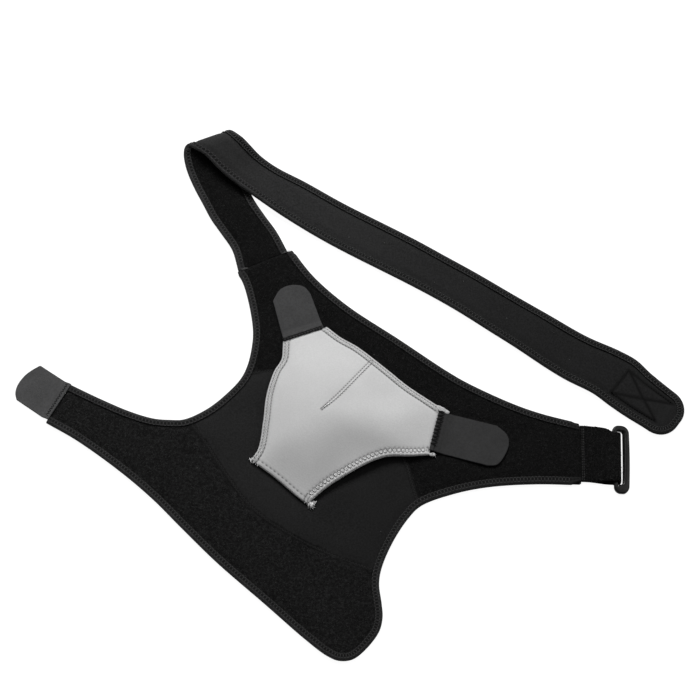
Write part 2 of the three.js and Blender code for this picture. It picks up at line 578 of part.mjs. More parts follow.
// ------------------------------------------------- webbing loop and its ring
// The webbing's lower and upper edge at a distance to the right.
function webEdge(x) {
  let i = 1;
  while (i < WEB_ROWS.length - 1 && WEB_ROWS[i].x < x) i++;
  const a = WEB_ROWS[i - 1], b = WEB_ROWS[i], f = Math.min(1, (x - a.x) / (b.x - a.x));
  return [a.y0 + (b.y0 - a.y0) * f, a.y1 + (b.y1 - a.y1) * f];
}
function webbing() {
  const r0 = BAR.hole, r1 = BAR.hole + WEB_T, zMid = EDGE_T / 2 - 0.6;
  const shape = new THREE.Shape();
  shape.moveTo(WEB_X + GAP, zMid - WEB_T);
  shape.lineTo(WEB_X + 16, zMid - WEB_T);
  shape.lineTo(WEB_ROWS[1].x, zMid - WEB_T + (BAR.z - r1 - zMid + WEB_T) * 0.7);
  shape.lineTo(BAR.x - 3, BAR.z - r1);
  shape.absarc(BAR.x, BAR.z, r1, -Math.PI / 2, Math.PI / 2, false);
  shape.lineTo(BAR.x - 3, BAR.z + r1);
  shape.lineTo(WEB_ROWS[1].x, zMid + WEB_T + (BAR.z + r1 - zMid - WEB_T) * 0.7);
  shape.lineTo(WEB_X + 16, zMid + WEB_T);
  shape.lineTo(WEB_X + GAP, zMid + WEB_T);
  const eye = new THREE.Path();
  eye.moveTo(BAR.x - 15, zMid + 0.25);
  eye.lineTo(BAR.x - 15, zMid - 0.25);
  eye.lineTo(BAR.x - 2.5, BAR.z - r0);
  eye.absarc(BAR.x, BAR.z, r0, -Math.PI / 2, Math.PI / 2, false);
  eye.lineTo(BAR.x - 2.5, BAR.z + r0);
  shape.holes.push(eye);
  const g = new THREE.ExtrudeGeometry(shape, { depth: 1, bevelEnabled: false, curveSegments: 10 });
  const p = g.attributes.position;
  for (let i = 0; i < p.count; i++) {
    const x = p.getX(i), z = p.getY(i), side = p.getZ(i) > 0.5 ? 1 : 0;
    p.setXYZ(i, x, webEdge(x)[side], z);
  }
  return finish(indexed(g));
}

function ringGeometry() {
  const x0 = -BAR.half, x1 = RING.reach, c = RING.round;
  const half = (RING.y1 - RING.y0) / 2;
  const rounded = (path, ax, ay, bx, by, r) => {
    path.moveTo(ax + r, ay);
    path.lineTo(bx - r, ay);
    path.absarc(bx - r, ay + r, r, -Math.PI / 2, 0, false);
    path.lineTo(bx, by - r);
    path.absarc(bx - r, by - r, r, 0, Math.PI / 2, false);
    path.lineTo(ax + r, by);
    path.absarc(ax + r, by - r, r, Math.PI / 2, Math.PI, false);
    path.lineTo(ax, ay + r);
    path.absarc(ax + r, ay + r, r, Math.PI, Math.PI * 1.5, false);
    return path;
  };
  const shape = rounded(new THREE.Shape(), x0 + c, -half + c, x1 - c, half - c, RING.corner - c);
  shape.holes.push(rounded(new THREE.Path(), BAR.half - c, -half + RING.arm - c, x1 - RING.outerBar + c, half - RING.arm + c, 1.5 + c));
  const g = new THREE.ExtrudeGeometry(shape, { depth: 2 * (BAR.half - c), bevelEnabled: true, bevelThickness: c, bevelSize: c, bevelSegments: 2, curveSegments: 4 });
  g.translate(0, 0, -(BAR.half - c));
  return finish(indexed(g));
}

// ------------------------------------------------------------ the assembly
const brace = new THREE.Group();
const layout = new THREE.Group();
layout.position.set(-ORIGIN.x, -ORIGIN.y, 0);
brace.add(layout);
function add(name, geometry, kind) {
  const mesh = new THREE.Mesh(geometry, material(kind));
  mesh.name = name;
  layout.add(mesh);
  return mesh;
}
add('arm_panel', armPanel, 'loop');
add('centre_panel', centrePanel, 'jersey');
add('chest_panel', chestPanel, 'loop');
add('arm_hole_binding', edgeTape(armHole, tabLine, rootLine.map((c) => -c)), 'tape');
add('top_binding', edgeTape(topEdge, rootLine, endLine), 'tape');
add('lower_binding', edgeTape(lowerEdge, endLine.map((c) => -c), tabLine.map((c) => -c)), 'tape');
add('arm_hook_tab', slab(tabOutline(ARM_TAB), 0, TAB_T), 'hook');
add('shoulder_pad', greyPad(), 'grey');
add('pad_hook_tab_top', slab(tabOutline(TOP_TAB), ON_SHEET, ON_SHEET + TAB_T), 'hook');
add('pad_hook_tab_side', slab(tabOutline(SIDE_TAB), ON_SHEET, ON_SHEET + TAB_T), 'hook');
add('chest_strap', strapSlab(0, TAPE_T + 3 * GAP, -SHEET_T / 2, SHEET_T / 2), 'jersey');
add('strap_binding', strapTape(0), 'tape');
add('strap_hook_patch', hookPatch(), 'hook');
add('buckle_webbing', webbing(), 'loop');
const ring = add('buckle_ring', ringGeometry(), 'plastic');
ring.position.set(BAR.x, (RING.y0 + RING.y1) / 2, BAR.z);
ring.rotation.set(0, THREE.MathUtils.degToRad(RING.tiltDeg), 0);

export default brace;
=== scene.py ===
"""Looks of the shoulder brace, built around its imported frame.

Tables are in millimetres in the brace's own layout; build() turns them into
metres in the frame's axes. A piece is placed by the same tables as its solid.
"""

import math

import bmesh
import bpy
import numpy as np
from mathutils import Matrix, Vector
from mathutils.bvhtree import BVHTree
from mathutils.geometry import delaunay_2d_cdt


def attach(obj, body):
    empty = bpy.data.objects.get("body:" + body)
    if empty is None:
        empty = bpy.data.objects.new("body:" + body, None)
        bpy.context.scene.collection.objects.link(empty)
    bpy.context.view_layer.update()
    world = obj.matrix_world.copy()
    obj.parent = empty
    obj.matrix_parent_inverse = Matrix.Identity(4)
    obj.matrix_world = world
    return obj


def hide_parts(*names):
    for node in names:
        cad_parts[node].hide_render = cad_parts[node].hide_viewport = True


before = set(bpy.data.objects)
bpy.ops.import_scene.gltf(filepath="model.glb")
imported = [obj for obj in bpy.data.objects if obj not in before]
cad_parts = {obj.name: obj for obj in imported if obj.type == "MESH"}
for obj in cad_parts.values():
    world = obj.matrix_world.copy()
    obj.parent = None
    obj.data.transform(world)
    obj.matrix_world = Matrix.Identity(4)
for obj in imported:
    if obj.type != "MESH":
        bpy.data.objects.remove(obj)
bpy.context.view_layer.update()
RNG = np.random.default_rng(83)

# ------------------------------------------------------------------ sizes (mm)
SHIFT = np.array([0.6, 9.0, 0.0])     # from the layout to the frame
GAP, SHEET_T, TAPE_T, TAPE_W, TAPE_CLEAR = 0.3, 3.0, 0.7, 7.5, 0.1
EDGE_T = SHEET_T + 2 * (GAP + TAPE_T)
SHEET_TOP = TAPE_T + GAP + SHEET_T
ON_SHEET = SHEET_TOP + GAP
TAB_T, PAD_T, PAD_RISE = 1.8, 3.0, 21.0
WEB_T, WEB_X = 1.7, 226.8
BAR_X, BAR_Z, BAR_HALF, BAR_HOLE = 260.9, 4.6, 2.2, 2.9
RING_Y0, RING_Y1, RING_ARM, RING_REACH, RING_OUTER, RING_TILT = -118.6, -47.4, 6.0, 15.0, 5.5, 9.8
TIP_CORNER = 21.0

# Rows of x, y along each edge and seam.
ARM_HOLE_EDGE = [
    (-276.9, -3.9), (-246.6, -19.1), (-217.5, -32.1), (-194.5, -39.3), (-177.7, -40.8), (-164.0, -40.2),
    (-141.3, -29.0), (-122.7, -13.2), (-108.6, 3.2), (-102.2, 17.7), (-98.0, 38.8), (-97.3, 55.1),
    (-101.8, 84.4), (-108.4, 107.5), (-114.4, 118.0)]
TOP_EDGE = [
    (-57.6, 142.6), (-46.6, 126.3), (-32.8, 109.4), (-1.5, 80.9), (49.5, 44.9), (97.1, 10.7),
    (117.9, -2.2), (161.2, -23.6), (188.7, -34.0), (WEB_X, -44.4)]
LOWER_EDGE = [
    (WEB_X, -109.2), (183.0, -108.2), (135.9, -111.2), (101.4, -118.4), (69.6, -130.7), (57.0, -143.6),
    (41.4, -168.6), (30.4, -195.7), (28.3, -211.0), (30.6, -230.0), (31.5, -244.2), (27.7, -259.3),
    (12.0, -279.4), (1.4, -286.6), (-11.0, -287.5), (-22.6, -282.4), (-42.8, -266.6), (-82.6, -230.7),
    (-129.7, -188.6), (-165.4, -152.6), (-193.2, -123.9), (-225.6, -95.4), (-269.0, -63.0), (-300.6, -44.0)]
ARM_SEAM = [
    (-159.8, -41.3), (-142.0, -65.5), (-127.8, -88.6), (-112.8, -111.0), (-101.2, -127.0),
    (-84.5, -142.5), (-61.4, -157.9), (-24.3, -178.4), (13.6, -193.7), (30.0, -198.0)]
CHEST_SEAM = [
    (-103.0, 8.2), (-89.6, 9.5), (-77.7, 10.6), (-39.8, -0.9), (9.9, -35.0), (41.4, -65.5),
    (55.1, -87.0), (59.9, -104.2), (64.2, -119.8), (68.0, -132.0)]

# Hook tabs: x, y, and 1 where the corner is part of a round end.
ARM_TAB = [
    (-277.9, -3.4, 0), (-309.0, 17.8, 1), (-317.5, 12.4, 1), (-324.2, 6.6, 1), (-330.8, -3.4, 1),
    (-332.6, -12.0, 1), (-331.2, -18.8, 1), (-303.6, -38.2, 0), (-299.6, -40.9, 0)]
TOP_TAB = [
    (-66.6, 43.1, 0), (-77.4, 86.0, 1), (-69.4, 99.1, 1), (-56.8, 103.4, 1), (-46.3, 101.3, 1),
    (-39.7, 93.6, 1), (-26.9, 57.1, 0)]
SIDE_TAB = [
    (89.6, -33.4, 0), (101.4, -36.5, 0), (145.2, -48.1, 1), (154.9, -57.6, 1), (156.7, -67.1, 1),
    (151.5, -80.7, 1), (144.5, -89.0, 1), (135.6, -90.1, 1), (84.7, -75.9, 0), (79.3, -74.6, 0)]

# Grey pad: name, lift of the side's middle, kind of hem, and the side's rows.
PAD_CENTRE = np.array([-30.0, -42.0])
PAD_SIDES = [
    ("top end", 0.0, "sewn", [(-66.9, 42.3), (-23.4, 57.6)]),
    ("upper right", 0.8, "hem", [(-23.4, 57.6), (-10.0, 46.2), (8.0, 35.0), (37.0, 11.0), (56.8, -6.2), (78.0, -21.2), (89.1, -28.8)]),
    ("right end", 0.0, "sewn", [(89.1, -33.4), (78.7, -75.4)]),
    ("lower right", 5.0, "rolled", [(78.7, -78.9), (60.0, -80.9), (37.4, -82.0), (21.6, -87.2), (-2.9, -100.8), (-23.5, -114.3), (-38.1, -126.7)]),
    ("lower left", 0.0, "flat", [(-38.1, -131.9), (-48.2, -125.2), (-73.6, -102.8), (-97.6, -84.1)]),
    ("left", 0.6, "hem", [(-97.6, -84.1), (-90.6, -73.2), (-86.0, -45.2), (-83.3, -18.8), (-79.5, -2.8), (-75.1, 10.0), (-68.3, 21.8), (-67.2, 32.6), (-66.9, 42.3)])]
DART = [(20.9, 18.5), (7.9, 1.7), (-4.9, -14.7), (-17.7, -29.0), (-29.5, -40.0)]

# Strap: left and right edge at mid-thickness, lx ly lz rx ry rz.
STRAP_ROWS = np.array([
    (-112.7, 119.2, 2.6, -63.0, 140.7, 2.6), (-119.4, 143.0, 2.6, -74.4, 163.2, 2.6),
    (-131.0, 161.5, 2.6, -87.0, 181.8, 2.6), (-141.3, 177.1, 2.6, -97.4, 198.4, 2.6),
    (-150.4, 195.0, 2.6, -105.8, 217.0, 2.6), (-158.9, 211.8, 2.7, -112.8, 232.7, 2.7),
    (-165.5, 226.9, 4.2, -119.1, 246.7, 4.2), (-169.0, 238.2, 6.5, -123.0, 255.6, 7.0),
    (-170.3, 247.0, 9.5, -125.5, 262.1, 11.0), (-169.2, 252.1, 13.0, -125.3, 267.2, 16.0),
    (-164.3, 253.1, 16.0, -120.0, 267.2, 22.0), (-157.3, 248.9, 17.2, -113.8, 262.8, 24.0),
    (-147.5, 242.5, 16.5, -108.6, 258.9, 23.0), (-134.6, 229.0, 14.0, -101.3, 252.3, 19.0),
    (-117.2, 213.8, 11.6, -91.4, 244.3, 11.5), (-98.2, 200.1, 9.8, -75.1, 233.8, 6.0),
    (-66.2, 177.7, 6.2, -45.5, 218.2, 3.4), (-26.9, 153.0, 3.6, -7.0, 195.0, 2.6),
    (27.8, 122.2, 2.6, 50.3, 163.2, 2.6), (83.0, 91.4, 2.6, 104.7, 130.9, 2.6),
    (147.3, 48.6, 2.6, 171.5, 89.3, 2.6), (212.5, 3.1, 2.8, 238.6, 47.1, 2.8),
    (241.7, -13.5, 3.3, 269.0, 32.5, 3.3), (257.0, -25.6, 3.3, 285.6, 22.6, 3.3),
    (272.0, -36.8, 3.3, 300.0, 7.8, 3.3), (294.6, -52.1, 3.3, 323.2, -12.9, 3.3),
    (310.4, -65.2, 3.3, 339.6, -26.0, 3.3)])


# ------------------------------------------------------------- curves, planes
def catmull(rows, per=24):
    """Centripetal Catmull-Rom through rows, per points for each span."""
    p = np.asarray(rows, float)
    q = np.vstack([2 * p[0] - p[1], p, 2 * p[-1] - p[-2]])
    out = []
    s = np.linspace(0, 1, per, endpoint=False)[:, None]
    for i in range(1, len(q) - 2):
        x0, x1, x2, x3 = q[i - 1], q[i], q[i + 1], q[i + 2]
        d0, d1, d2 = (max(np.sum((b - a) ** 2) ** 0.25, 1e-6) for a, b in ((x0, x1), (x1, x2), (x2, x3)))
        t1 = ((x1 - x0) / d0 - (x2 - x0) / (d0 + d1) + (x2 - x1) / d1) * d1
        t2 = ((x2 - x1) / d1 - (x3 - x1) / (d1 + d2) + (x3 - x2) / d2) * d1
        out.append(x1 + t1 * s + (-3 * x1 + 3 * x2 - 2 * t1 - t2) * s ** 2 + (2 * x1 - 2 * x2 + t1 + t2) * s ** 3)
    return np.vstack(out + [p[-1:]])


def arc(path):
    return np.concatenate([[0], np.cumsum(np.linalg.norm(np.diff(path, axis=0), axis=1))])


def resample(path, step):
    """path again, with points an even distance of about step apart."""
    a = arc(path)
    n = max(2, int(round(a[-1] / step)) + 1)
    t = np.linspace(0, a[-1], n)
    return np.column_stack([np.interp(t, a, path[:, k]) for k in range(path.shape[1])])


def norm(v):
    return v / np.maximum(np.linalg.norm(v, axis=-1, keepdims=True), 1e-12)


def tangents(path, closed=False):
    if closed:
        return norm(np.roll(path, -1, 0) - np.roll(path, 1, 0))
    return norm(np.gradient(path, axis=0))


def left(v):
    return np.stack([-v[..., 1], v[..., 0]], -1)


def smoothstep(x, a, b):
    t = np.clip((x - a) / (b - a), 0, 1)
    return t * t * (3 - 2 * t)


def segment_distance(points, path, closed=False):
    """Distance of each point to a polyline, and how far along it the nearest place is."""
    p = np.asarray(points)[:, None, :]
    a = path
    b = np.roll(path, -1, 0) if closed else path[1:]
    a = a if closed else path[:-1]
    d = b - a
    l2 = np.maximum((d ** 2).sum(1), 1e-12)
    run = np.concatenate([[0], np.cumsum(np.sqrt(l2))])[:-1]
    best = np.full(len(points), 1e9)
    where = np.zeros(len(points))
    if len(a) > 60 and len(points) > 200:
        # Long paths are evenly spaced, so the nearest line starts or ends near the nearest point.
        q, n = np.asarray(points)[:, :2], len(a)
        near = np.empty(len(q), int)
        every = path[::6]
        for k in range(0, len(q), 20000):
            w = q[k:k + 20000]
            near[k:k + 20000] = (((w[:, None, 0] - every[None, :, 0]) ** 2 + (w[:, None, 1] - every[None, :, 1]) ** 2).argmin(1)) * 6
        for shift in range(-7, 8):
            j = near + shift
            j = j % n if closed else np.clip(j, 0, n - 1)
            w = q - a[j]
            t = np.clip((w * d[j]).sum(1) / l2[j], 0, 1)
            g = np.hypot(w[:, 0] - t * d[j, 0], w[:, 1] - t * d[j, 1])
            better = g < best
            best = np.where(better, g, best)
            where = np.where(better, run[j] + t * np.sqrt(l2[j]), where)
        return best, where
    for k in range(0, len(points), 4000):
        w = p[k:k + 4000] - a[None]
        t = np.clip((w * d[None]).sum(2) / l2[None], 0, 1)
        g = np.linalg.norm(w - t[..., None] * d[None], axis=2)
        j = g.argmin(1)
        i = np.arange(len(j))
        best[k:k + 4000] = g[i, j]
        where[k:k + 4000] = run[j] + t[i, j] * np.sqrt(l2[j])
    return best, where


def inside(points, loop):
    """Whether each point lies in a closed outline."""
    x, y = points[:, 0][:, None], points[:, 1][:, None]
    x0, y0 = loop[:, 0][None], loop[:, 1][None]
    x1, y1 = np.roll(loop[:, 0], -1)[None], np.roll(loop[:, 1], -1)[None]
    cross = ((y0 > y) != (y1 > y)) & (x < (x1 - x0) * (y - y0) / np.where(y1 == y0, 1e-12, y1 - y0) + x0)
    return cross.sum(1) % 2 == 1


def area_of(loop):
    x, y = loop[:, 0], loop[:, 1]
    return 0.5 * np.sum(x * np.roll(y, -1) - np.roll(x, -1) * y)


def lumps(x, y, scale, seed, count=7):
    """Smooth low waves between about -1 and 1, for the lie of a cloth."""
    g = np.random.default_rng(seed)
    out = 0
    for _ in range(count):
        ang, ph, f = g.uniform(0, 2 * np.pi), g.uniform(0, 2 * np.pi), g.uniform(0.6, 1.5) / scale
        out = out + np.sin((x * np.cos(ang) + y * np.sin(ang)) * f * 2 * np.pi + ph)
    return out / math.sqrt(count)


# ------------------------------------------------------------------- materials
class Mat:
    """A material with short ways to add its nodes."""

    def __init__(self, name, base, rough, **sockets):
        self.m = bpy.data.materials.new(name)
        self.m.use_nodes = True
        self.t = self.m.node_tree
        self.t.nodes.clear()
        self.out = self.t.nodes.new("ShaderNodeOutputMaterial")
        self.b = self.t.nodes.new("ShaderNodeBsdfPrincipled")
        self.t.links.new(self.b.outputs[0], self.out.inputs[0])
        self.b.inputs["Base Color"].default_value = (*base, 1)
        self.b.inputs["Roughness"].default_value = rough
        for k, v in sockets.items():
            self.b.inputs[k.replace("_", " ")].default_value = v
        self.co = self.t.nodes.new("ShaderNodeTexCoord").outputs["Object"]

    def link(self, a, b):
        self.t.links.new(a, b)

    def scaled(self, sx, sy, sz, rot=0.0):
        n = self.t.nodes.new("ShaderNodeMapping")
        n.inputs["Scale"].default_value = (sx, sy, sz)
        n.inputs["Rotation"].default_value = (0, 0, rot)
        self.link(self.co, n.inputs["Vector"])
        return n.outputs[0]

    def noise(self, scale, detail=2.0, rough=0.5, distortion=0.0, vec=None):
        n = self.t.nodes.new("ShaderNodeTexNoise")
        n.inputs["Scale"].default_value = scale
        n.inputs["Detail"].default_value = detail
        n.inputs["Roughness"].default_value = rough
        n.inputs["Distortion"].default_value = distortion
        self.link(vec or self.co, n.inputs["Vector"])
        return n.outputs[0]

    def cells(self, scale, randomness=1.0, feature="F1", vec=None):
        n = self.t.nodes.new("ShaderNodeTexVoronoi")
        n.feature = feature
        n.inputs["Scale"].default_value = scale
        n.inputs["Randomness"].default_value = randomness
        self.link(vec or self.co, n.inputs["Vector"])
        return n.outputs[0]

    def wave(self, scale, distortion=0.0, detail=1.0, direction="X", vec=None, detail_scale=1.0):
        n = self.t.nodes.new("ShaderNodeTexWave")
        n.bands_direction = direction
        n.inputs["Scale"].default_value = scale
        n.inputs["Distortion"].default_value = distortion
        n.inputs["Detail"].default_value = detail
        n.inputs["Detail Scale"].default_value = detail_scale
        self.link(vec or self.co, n.inputs["Vector"])
        return n.outputs[1]

    def ramp(self, fac, stops):
        n = self.t.nodes.new("ShaderNodeValToRGB")
        e = n.color_ramp.elements
        e[0].position, e[0].color = stops[0][0], (*stops[0][1], 1)
        e[1].position, e[1].color = stops[-1][0], (*stops[-1][1], 1)
        for pos, col in stops[1:-1]:
            k = e.new(pos)
            k.color = (*col, 1)
        self.link(fac, n.inputs[0])
        return n.outputs[0]

    def math(self, op, a, b=None):
        n = self.t.nodes.new("ShaderNodeMath")
        n.operation = op
        for k, v in ((0, a), (1, b)):
            if v is None:
                continue
            if isinstance(v, (int, float)):
                n.inputs[k].default_value = v
            else:
                self.link(v, n.inputs[k])
        return n.outputs[0]

    def mix(self, fac, a, b, blend="MIX"):
        n = self.t.nodes.new("ShaderNodeMix")
        n.data_type = "RGBA"
        n.blend_type = blend
        for k, v in ((0, fac), (6, a), (7, b)):
            if isinstance(v, (int, float)):
                n.inputs[k].default_value = v
            elif isinstance(v, tuple):
                n.inputs[k].default_value = (*v, 1)
            else:
                self.link(v, n.inputs[k])
        return n.outputs[2]

    def attribute(self, name):
        n = self.t.nodes.new("ShaderNodeAttribute")
        n.attribute_name = name
        return n.outputs["Fac"]

    def bump(self, height, strength, distance, normal=None):
        n = self.t.nodes.new("ShaderNodeBump")
        n.inputs["Strength"].default_value = strength
        n.inputs["Distance"].default_value = distance
        self.link(height, n.inputs["Height"])
        if normal is not None:
            self.link(normal, n.inputs["Normal"])
        return n.outputs[0]

    def color(self, socket):
        self.link(socket, self.b.inputs["Base Color"])

    def rough(self, socket):
        self.link(socket, self.b.inputs["Roughness"])

    def normal(self, socket):
        self.link(socket, self.b.inputs["Normal"])


def grey(v, tint=0.0):
    return (v, v, v * (1 + tint))


def loop_cloth(name, light):
    """Brushed loop pile: short curled fibres over a black ground, with painted highlights in thin strokes where they
    catch the light.
    """
    k = Mat(name, grey(0.006 * light), 1.0, Specular_IOR_Level=0.06, Sheen_Weight=0.02, Sheen_Roughness=0.7)
    curl = k.noise(330.0, 2.0, 0.55, 2.6)
    fine = k.noise(1100.0, 2.0, 0.6, 0.8)
    ridge = k.math("ABSOLUTE", k.math("SUBTRACT", curl, 0.5))      # thin curved strokes along the noise's middle
    stroke = k.ramp(ridge, [(0.0, grey(1.0)), (0.035, grey(0.35)), (0.085, grey(0.0))])
    broken = k.ramp(k.noise(210.0, 1.0, 0.5), [(0.42, grey(0.0)), (0.6, grey(1.0))])
    h = k.math("ADD", k.math("MULTIPLY", stroke, 0.8), k.math("MULTIPLY", fine, 0.5))
    k.normal(k.bump(h, 1.0, 0.0007))
    patch = k.ramp(k.noise(26.0, 2.0, 0.5), [(0.35, grey(0.0)), (0.7, grey(1.0))])
    ground = k.mix(patch, grey(0.0032 * light), grey(0.0068 * light))
    ground = k.mix(k.ramp(fine, [(0.35, grey(0.0)), (0.7, grey(0.8))]), ground, grey(0.0098 * light))
    # Painted highlight: the broken strokes are lightened where the fibres catch the light.
    cloth = k.mix(k.math("MULTIPLY", stroke, k.math("MULTIPLY", broken, 0.8)), ground, grey(0.026 * light, 0.02))
    tuft = k.ramp(k.noise(400.0, 1.0, 0.5), [(0.4, grey(0.0)), (0.6, grey(1.0))])
    k.color(k.mix(tuft, k.mix(1.0, cloth, grey(0.35), "MULTIPLY"), cloth))
    return k.m


def jersey(name, light):
    """Smooth knit over foam: a fine even grain and slow changes of tone."""
    k = Mat(name, grey(0.012 * light), 0.85, Specular_IOR_Level=0.11, Sheen_Weight=0.03, Sheen_Roughness=0.5)
    knit = k.cells(900.0, 0.35)
    soft = k.noise(620.0, 3.0, 0.6)
    slow = k.noise(9.0, 2.0, 0.5)
    k.normal(k.bump(k.math("ADD", k.math("MULTIPLY", knit, 0.5), k.math("MULTIPLY", soft, 0.5)), 0.6, 0.0003))
    grain = k.ramp(soft, [(0.34, grey(0.0068 * light)), (0.66, grey(0.0178 * light, 0.02))])
    base = k.mix(k.ramp(slow, [(0.35, grey(0.0)), (0.65, grey(0.4))]), grain, grey(0.0185 * light))
    # Painted shade: the tone darkens towards the buckle's end, where the light falls off.
    n = k.t.nodes.new("ShaderNodeSeparateXYZ")
    k.link(k.co, n.inputs[0])
    deep = k.ramp(k.math("MULTIPLY", k.math("ADD", n.outputs[0], 0.33), 1.5), [(0.2, grey(1.0)), (0.75, grey(0.45))])
    base = k.mix(1.0, base, deep, "MULTIPLY")
    # The needle holes and stitch grooves get painted shade.
    k.color(k.mix(k.attribute("pit_shade"), base, grey(0.0006)))
    return k.m


def tape_cloth():
    k = Mat("binding_tape", grey(0.02), 0.88, Specular_IOR_Level=0.16, Sheen_Weight=0.06, Sheen_Roughness=0.5)
    rib = k.noise(800.0, 2.0, 0.6, 0.4)
    soft = k.noise(150.0, 2.0, 0.5)
    k.normal(k.bump(rib, 0.8, 0.0003))
    base = k.mix(k.ramp(soft, [(0.3, grey(0.0)), (0.7, grey(1.0))]), grey(0.014), grey(0.026, 0.02))
    # Painted shade: the tone darkens towards the buckle's end, where the light falls off.
    n = k.t.nodes.new("ShaderNodeSeparateXYZ")
    k.link(k.co, n.inputs[0])
    deep = k.ramp(k.math("MULTIPLY", k.math("ADD", n.outputs[0], 0.33), 1.5), [(0.25, grey(1.0)), (0.8, grey(0.5))])
    base = k.mix(1.0, base, deep, "MULTIPLY")
    # The needle holes and stitch grooves get painted shade.
    k.color(k.mix(k.attribute("pit_shade"), base, grey(0.0006)))
    return k.m


def hook_cloth(name, low, high):
    """Hook tape's back: a close even weave with a fine grain."""
    k = Mat(name, grey(low), 0.8, Specular_IOR_Level=0.16)
    dots = k.cells(880.0, 0.25)
    soft = k.noise(420.0, 3.0, 0.6)
    slow = k.noise(60.0, 2.0, 0.5)
    k.normal(k.bump(k.math("SUBTRACT", k.math("MULTIPLY", soft, 0.4), dots), 0.8, 0.0004))
    grain = k.ramp(k.math("ADD", k.math("MULTIPLY", soft, 0.75), k.math("MULTIPLY", dots, 0.5)),
                   [(0.35, grey(low)), (0.75, grey(high, 0.02))])
    k.color(k.mix(k.ramp(slow, [(0.35, grey(0.0)), (0.7, grey(0.3))]), grain, grey(low * 0.8)))
    return k.m


def pad_cloth():
    k = Mat("pad_cloth", grey(0.5), 0.9, Specular_IOR_Level=0.2, Sheen_Weight=0.05, Sheen_Roughness=0.5)
    weave = k.cells(1300.0, 0.4)
    soft = k.noise(30.0, 2.0, 0.5)
    grain = k.noise(700.0, 3.0, 0.65)
    k.normal(k.bump(k.math("ADD", k.math("MULTIPLY", weave, 0.6), k.math("MULTIPLY", grain, 0.6)), 0.4, 0.00025))
    base = k.ramp(soft, [(0.3, grey(0.50, 0.0)), (0.7, grey(0.535, 0.0))])
    base = k.mix(k.ramp(grain, [(0.38, grey(0.5)), (0.62, grey(0.0))]), base, grey(0.44, 0.0))
    # The needle holes and stitch grooves get painted shade.
    k.color(k.mix(k.attribute("pit_shade"), base, grey(0.02)))
    return k.m


def thread(name, value, rough=0.7):
    k = Mat(name, grey(value), rough, Specular_IOR_Level=0.2)
    n = k.noise(2500.0, 2.0, 0.6)
    k.color(k.ramp(n, [(0.3, grey(value * 0.75)), (0.7, grey(value * 1.25))]))
    k.normal(k.bump(n, 0.6, 0.0001))
    return k.m


def seam_cloth():
    """The flat tape over a joining seam, nearly as dark as the pile beside it."""
    k = Mat("seam_tape", grey(0.009), 0.9, Specular_IOR_Level=0.1)
    rib = k.noise(800.0, 2.0, 0.6, 0.4)
    k.normal(k.bump(rib, 0.8, 0.0003))
    base = k.ramp(rib, [(0.3, grey(0.006)), (0.7, grey(0.013))])
    # The seam's stitch holes get painted shade.
    k.color(k.mix(k.attribute("pit_shade"), base, grey(0.0006)))
    return k.m


def plastic():
    k = Mat("ring_plastic", grey(0.003), 0.36, Specular_IOR_Level=0.18, Coat_Weight=0.03, Coat_Roughness=0.2)
    n = k.noise(700.0, 3.0, 0.6)
    k.normal(k.bump(n, 0.18, 0.0001))
    k.rough(k.ramp(k.noise(90.0, 3.0, 0.6), [(0.3, grey(0.3)), (0.7, grey(0.45))]))
    k.color(k.ramp(n, [(0.3, grey(0.002)), (0.7, grey(0.004))]))
    return k.m


# Painted light and shade: both loop cloths are the same pile, lighter on the arm side and darker on the chest side,
# strap and webbing, where the light falls off.
LOOP, LOOP_SHADED = loop_cloth("loop_cloth", 1.65), loop_cloth("loop_cloth_shaded", 0.6)
# Painted light: the strap's jersey is the same knit as the centre panel's at a lighter tone.
JERSEY, JERSEY_STRAP_LIT, TAPE, SEAM = jersey("jersey", 0.95), jersey("jersey_strap_lit", 1.5), tape_cloth(), seam_cloth()
HOOK = hook_cloth("hook_tape", 0.042, 0.066)
# Painted shade: the top and side tabs use the same hook tape as the arm tab at darker tones, the side tab darkest as it
# tilts away from the light.
HOOK_TOP_SHADED = hook_cloth("hook_tape_top_shaded", 0.030, 0.049)
HOOK_SIDE_SHADED = hook_cloth("hook_tape_side_shaded", 0.021, 0.032)
PAD, PLASTIC = pad_cloth(), plastic()
FIBRE = Mat("pile_fibre", grey(0.023), 0.9, Specular_IOR_Level=0.1).m
FIBRE_PALE = Mat("pile_fibre_pale", grey(0.052), 0.85, Specular_IOR_Level=0.1).m
# Painted shade: darker copies of the same pile fibres for the chest side, strap and webbing, where the light falls off.
FIBRE_SHADED = Mat("pile_fibre_shaded", grey(0.006), 0.9, Specular_IOR_Level=0.06).m
FIBRE_SHADED_PALE = Mat("pile_fibre_shaded_pale", grey(0.034), 0.85, Specular_IOR_Level=0.08).m
THREAD_DARK = thread("thread_dark", 0.003)
THREAD_BLACK = Mat("thread_black", grey(0.0005), 0.95, Specular_IOR_Level=0.02).m
THREAD_TAPE = thread("thread_tape", 0.05)
THREAD_TACK = thread("thread_tack", 0.09)
THREAD_SEAM = thread("thread_seam", 0.016)
THREAD_GREY = thread("thread_grey", 0.16)
THREAD_PALE = thread("thread_pale", 0.78)


